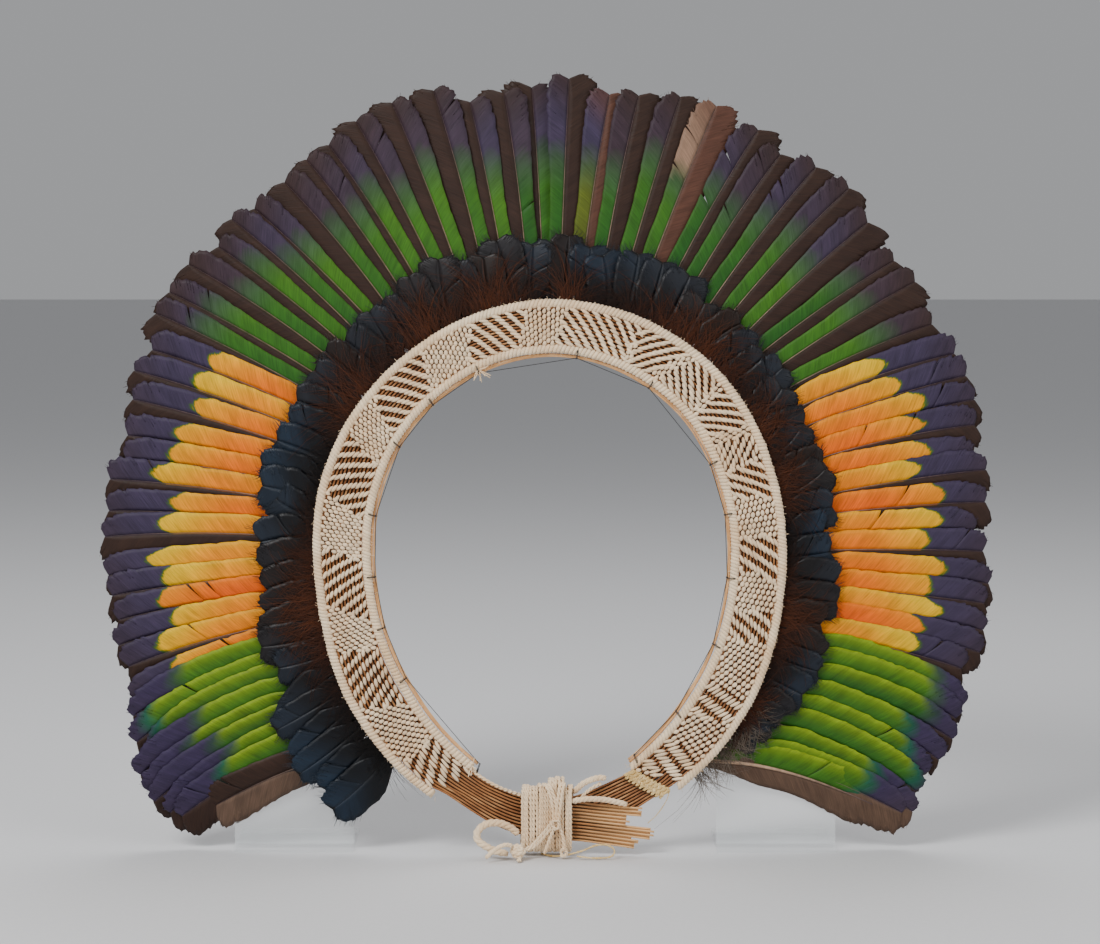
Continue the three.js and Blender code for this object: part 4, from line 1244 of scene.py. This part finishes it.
def make_splints():
    """Two layers of strips, the rear ones darker as painted shade in the gaps between the front ones, and
    half a strip along.
    """
    rng = np.random.default_rng(21)
    for name, look, shift, layer, half, nodes in SPLINT_LAYERS:
        form = Form()
        for k in range(SPLINTS):
            offset = (k + 0.5 + shift * (k < SPLINTS - 1)) / SPLINTS - 0.5
            path = curve_through(even_points(splint_path(offset, layer, rng), 90), SPLINT_STEPS)
            run = np.linspace(0, 1, SPLINT_STEPS)
            lay = lay_of(run * 1000, 0, rng.uniform(0, 300))
            tubes(form, path, half, 0.62, 4, lay=lay, cut=smooth_step(run, 0.05, 0.0), turn=pi / 4)
        form.build(name, look, "splint", *nodes)


make_splints()


SELVAGE_KNOTS = 13
SELVAGE_STRANDS = [  # phase, degrees past the band's end, brightness
    (0, 1.5, 1.0), (pi / 2, 2.4, 0.9), (pi, 1.9, 1.05), (3 * pi / 2, 3.1, 0.95),
]
SELVAGE_END = [(76, 12.5, 42), (73.5, 14, 35), (68, 15.5, 27), (62, 16.5, 21.5)]


def make_selvage():
    """Strands of tow twined across the band's right end, with one loose end."""
    form = Form()
    share = np.linspace(0.13, 0.88, 170)
    turn = tau * SELVAGE_KNOTS * share
    for phase, step, tint in SELVAGE_STRANDS:
        bearing = end_bearing("right", share) + step + 0.75 * np.sin(turn + phase)
        depth = WEAVE_Y - 0.7 - 0.55 * np.cos(2 * turn + phase)
        path = polar(bearing, band_radius(bearing, share + 0.012 * np.cos(turn + phase)), depth)
        strand(form, path, 0.95, 2, 3.6, cut=0.0, tint=(tint, tint * 0.97, tint * 0.86))
    strand(form, curve_through(placed(SELVAGE_END), 20), 0.35, 2, 3, cut=0.0, tint=(1, 1, 1))
    form.build("selvage_twining", tow_finish, "cane", "selvage")


make_selvage()


# Tie: turns of cord round the tails
TIE_HIGHS = [1, 0.98, 1.02, 1.1, 1.12, 1]
TIE_RIGHT, TIE_UP = -0.005, -1.245  # the tie's middle, in radii of the opening
TURN_YARNS = (-1.65, 0.0, 1.65)


def boxy(wave):
    """A wave with full shoulders, so that a turn follows a box with round corners."""
    return np.sign(wave) * np.abs(wave) ** 0.5


def make_turns():
    for i, high in enumerate(TIE_HIGHS):
        x = CENTRE[0] + TIE_RIGHT * OPENING_RADIUS + (i - 2.5) * (CORD + CLEARANCE)
        foot = CENTRE[1] + TIE_UP * OPENING_RADIUS - TIE_HIGH / 2
        z = foot + high * TIE_HIGH / 2
        angle = np.linspace(0, tau, 90) + 1.2
        form = Form()
        for k, offset in enumerate(TURN_YARNS):
            sway = 0.55 * np.sin(angle + i * 2.1 + k * 1.3) + 0.35 * np.sin(angle * 2 + i * 1.7 + k * 2.2)
            path = np.stack([x + offset + sway, TIE_Y + (TIE_DEEP / 2 - 1.5) * boxy(np.cos(angle)),
                             z + (high * TIE_HIGH / 2 - 1.6) * boxy(np.sin(angle))], 1)
            tint = np.ones(3) * (0.95 + 0.035 * ((i + k) % 3))
            strand(form, curve_through(path[::3], 72), 1.25, 2, 6.5, reference=(1, 0, 0), tint=tint)
        form.build(f"tie_turn_{i + 1}_yarn", yarn_look, "cotton", f"tie_turn_{i + 1}")


TIE_CROSSINGS = [  # yarns side by side, then the points that they pass through
    (2, [(-3, 8, 42), (-1.5, 16, 45), (1, 20.2, 44), (3.5, 21.2, 37), (4.5, 21.4, 29), (4.8, 21.8, 22)]),
    (2, [(9, 8, 44), (9, 16, 46), (8.2, 20.2, 43.5), (7, 21.2, 35), (6, 21.6, 27), (5.4, 21.8, 22)]),
    (2, [(4, 22, 24), (0.5, 22, 19), (-4.5, 21.8, 13), (-9.5, 22, 8), (-15, 23.5, 6)]),
    (1, [(5, 22, 23), (2.5, 22.2, 16), (0, 21.8, 9), (-2, 20.8, 3.4)]),
    (1, [(5.5, 22, 23), (8.6, 21.4, 17), (10.2, 21.2, 10), (9.8, 22.4, 5)]),
    (1, [(2.6, 22.5, 21), (3.6, 24, 24.4), (6.6, 24, 24), (7, 23, 20.6), (4.6, 23.6, 19.4),
         (2.8, 22.6, 21.6)]),
    (1, [(8.4, 22.2, 4.4), (9.4, 23.6, 6.6), (11.6, 23, 5.4), (11, 23, 2.6), (8.8, 23, 2.6), (8.4, 22, 4.8)]),
    (1, [(-47.5, 11, 55), (-44, 12, 51.5), (-37, 13, 47), (-30, 13.6, 43.5), (-22, 14, 40.5),
         (-14, 14.5, 38)]),
    (1, [(21, 12.5, 37), (25, 13, 41), (29, 12.6, 43.8), (33, 12, 45.5)]),
]


def make_crossings():
    """Loose yarn that crosses the turns in front, and a lead from the inner rim."""
    form = Form()
    for yarns, points in TIE_CROSSINGS:
        path = curve_through(placed(points), 40)
        for k in range(yarns):
            beside = path + np.array([2.1 * (k - (yarns - 1) / 2), 0, 0])
            strand(form, beside, 1.2, 2, 6, reference=(1, 0.2, 0.1), tint=(1.03, 1.03, 1.03))
    form.build("tie_crossings", yarn_look, "cotton")


make_turns()
make_crossings()


def clear_supports():
    """The supports are the solids themselves, in the clear look."""
    for support in ("support_left", "support_right"):
        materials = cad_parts[support].data.materials
        materials.clear()
        materials.append(clear_finish)


clear_supports()


# Floor and light, in metres
FLOOR_REACH = 25
LIT_POINT = Vector((0, 0, 0.22))
LIGHTS = [  # name, place, size, power
    ("key", (-1.1, -1.5, 1.7), 0.9, 54), ("fill", (1.5, -1.3, 0.9), 1.4, 17),
    ("top", (0.2, 0.6, 1.9), 1.2, 16),
]


def make_floor():
    mesh = bpy.data.meshes.new("floor")
    far = FLOOR_REACH
    mesh.from_pydata([(-far, -far, 0), (far, -far, 0), (far, far, 0), (-far, far, 0)], [], [(0, 1, 2, 3)])
    look = Look("floor", Specular_IOR_Level=0.2)
    paper = look.noise(look.place(), 300.0, 3.0)
    tone = look.mix(paper, (0.60, 0.60, 0.61), (0.66, 0.66, 0.67))
    mesh.materials.append(look.finish(tone, look.ramp(paper, 0.3, 0.7, 0.7, 0.8), paper, 0.00002))
    floor = bpy.data.objects.new("floor", mesh)
    bpy.context.scene.collection.objects.link(floor)
    floor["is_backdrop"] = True


def add_light(name, place, size, power):
    data = bpy.data.lights.new(name, "AREA")
    data.size = size
    data.energy = power
    lamp = bpy.data.objects.new(name, data)
    lamp.location = place
    lamp.rotation_euler = (LIT_POINT - lamp.location).to_track_quat("-Z", "Y").to_euler()
    bpy.context.scene.collection.objects.link(lamp)


def set_stage():
    make_floor()
    for light in LIGHTS:
        add_light(*light)
    world = bpy.data.worlds.new("studio")
    world.use_nodes = True
    background = world.node_tree.nodes["Background"]
    background.inputs["Color"].default_value = (0.72, 0.73, 0.75, 1)
    background.inputs["Strength"].default_value = 0.5
    bpy.context.scene.world = world


set_stage()

({name: [list(corner) for corner in box]
           for name, box in (("cad", cad_box), ("visual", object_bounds()))})
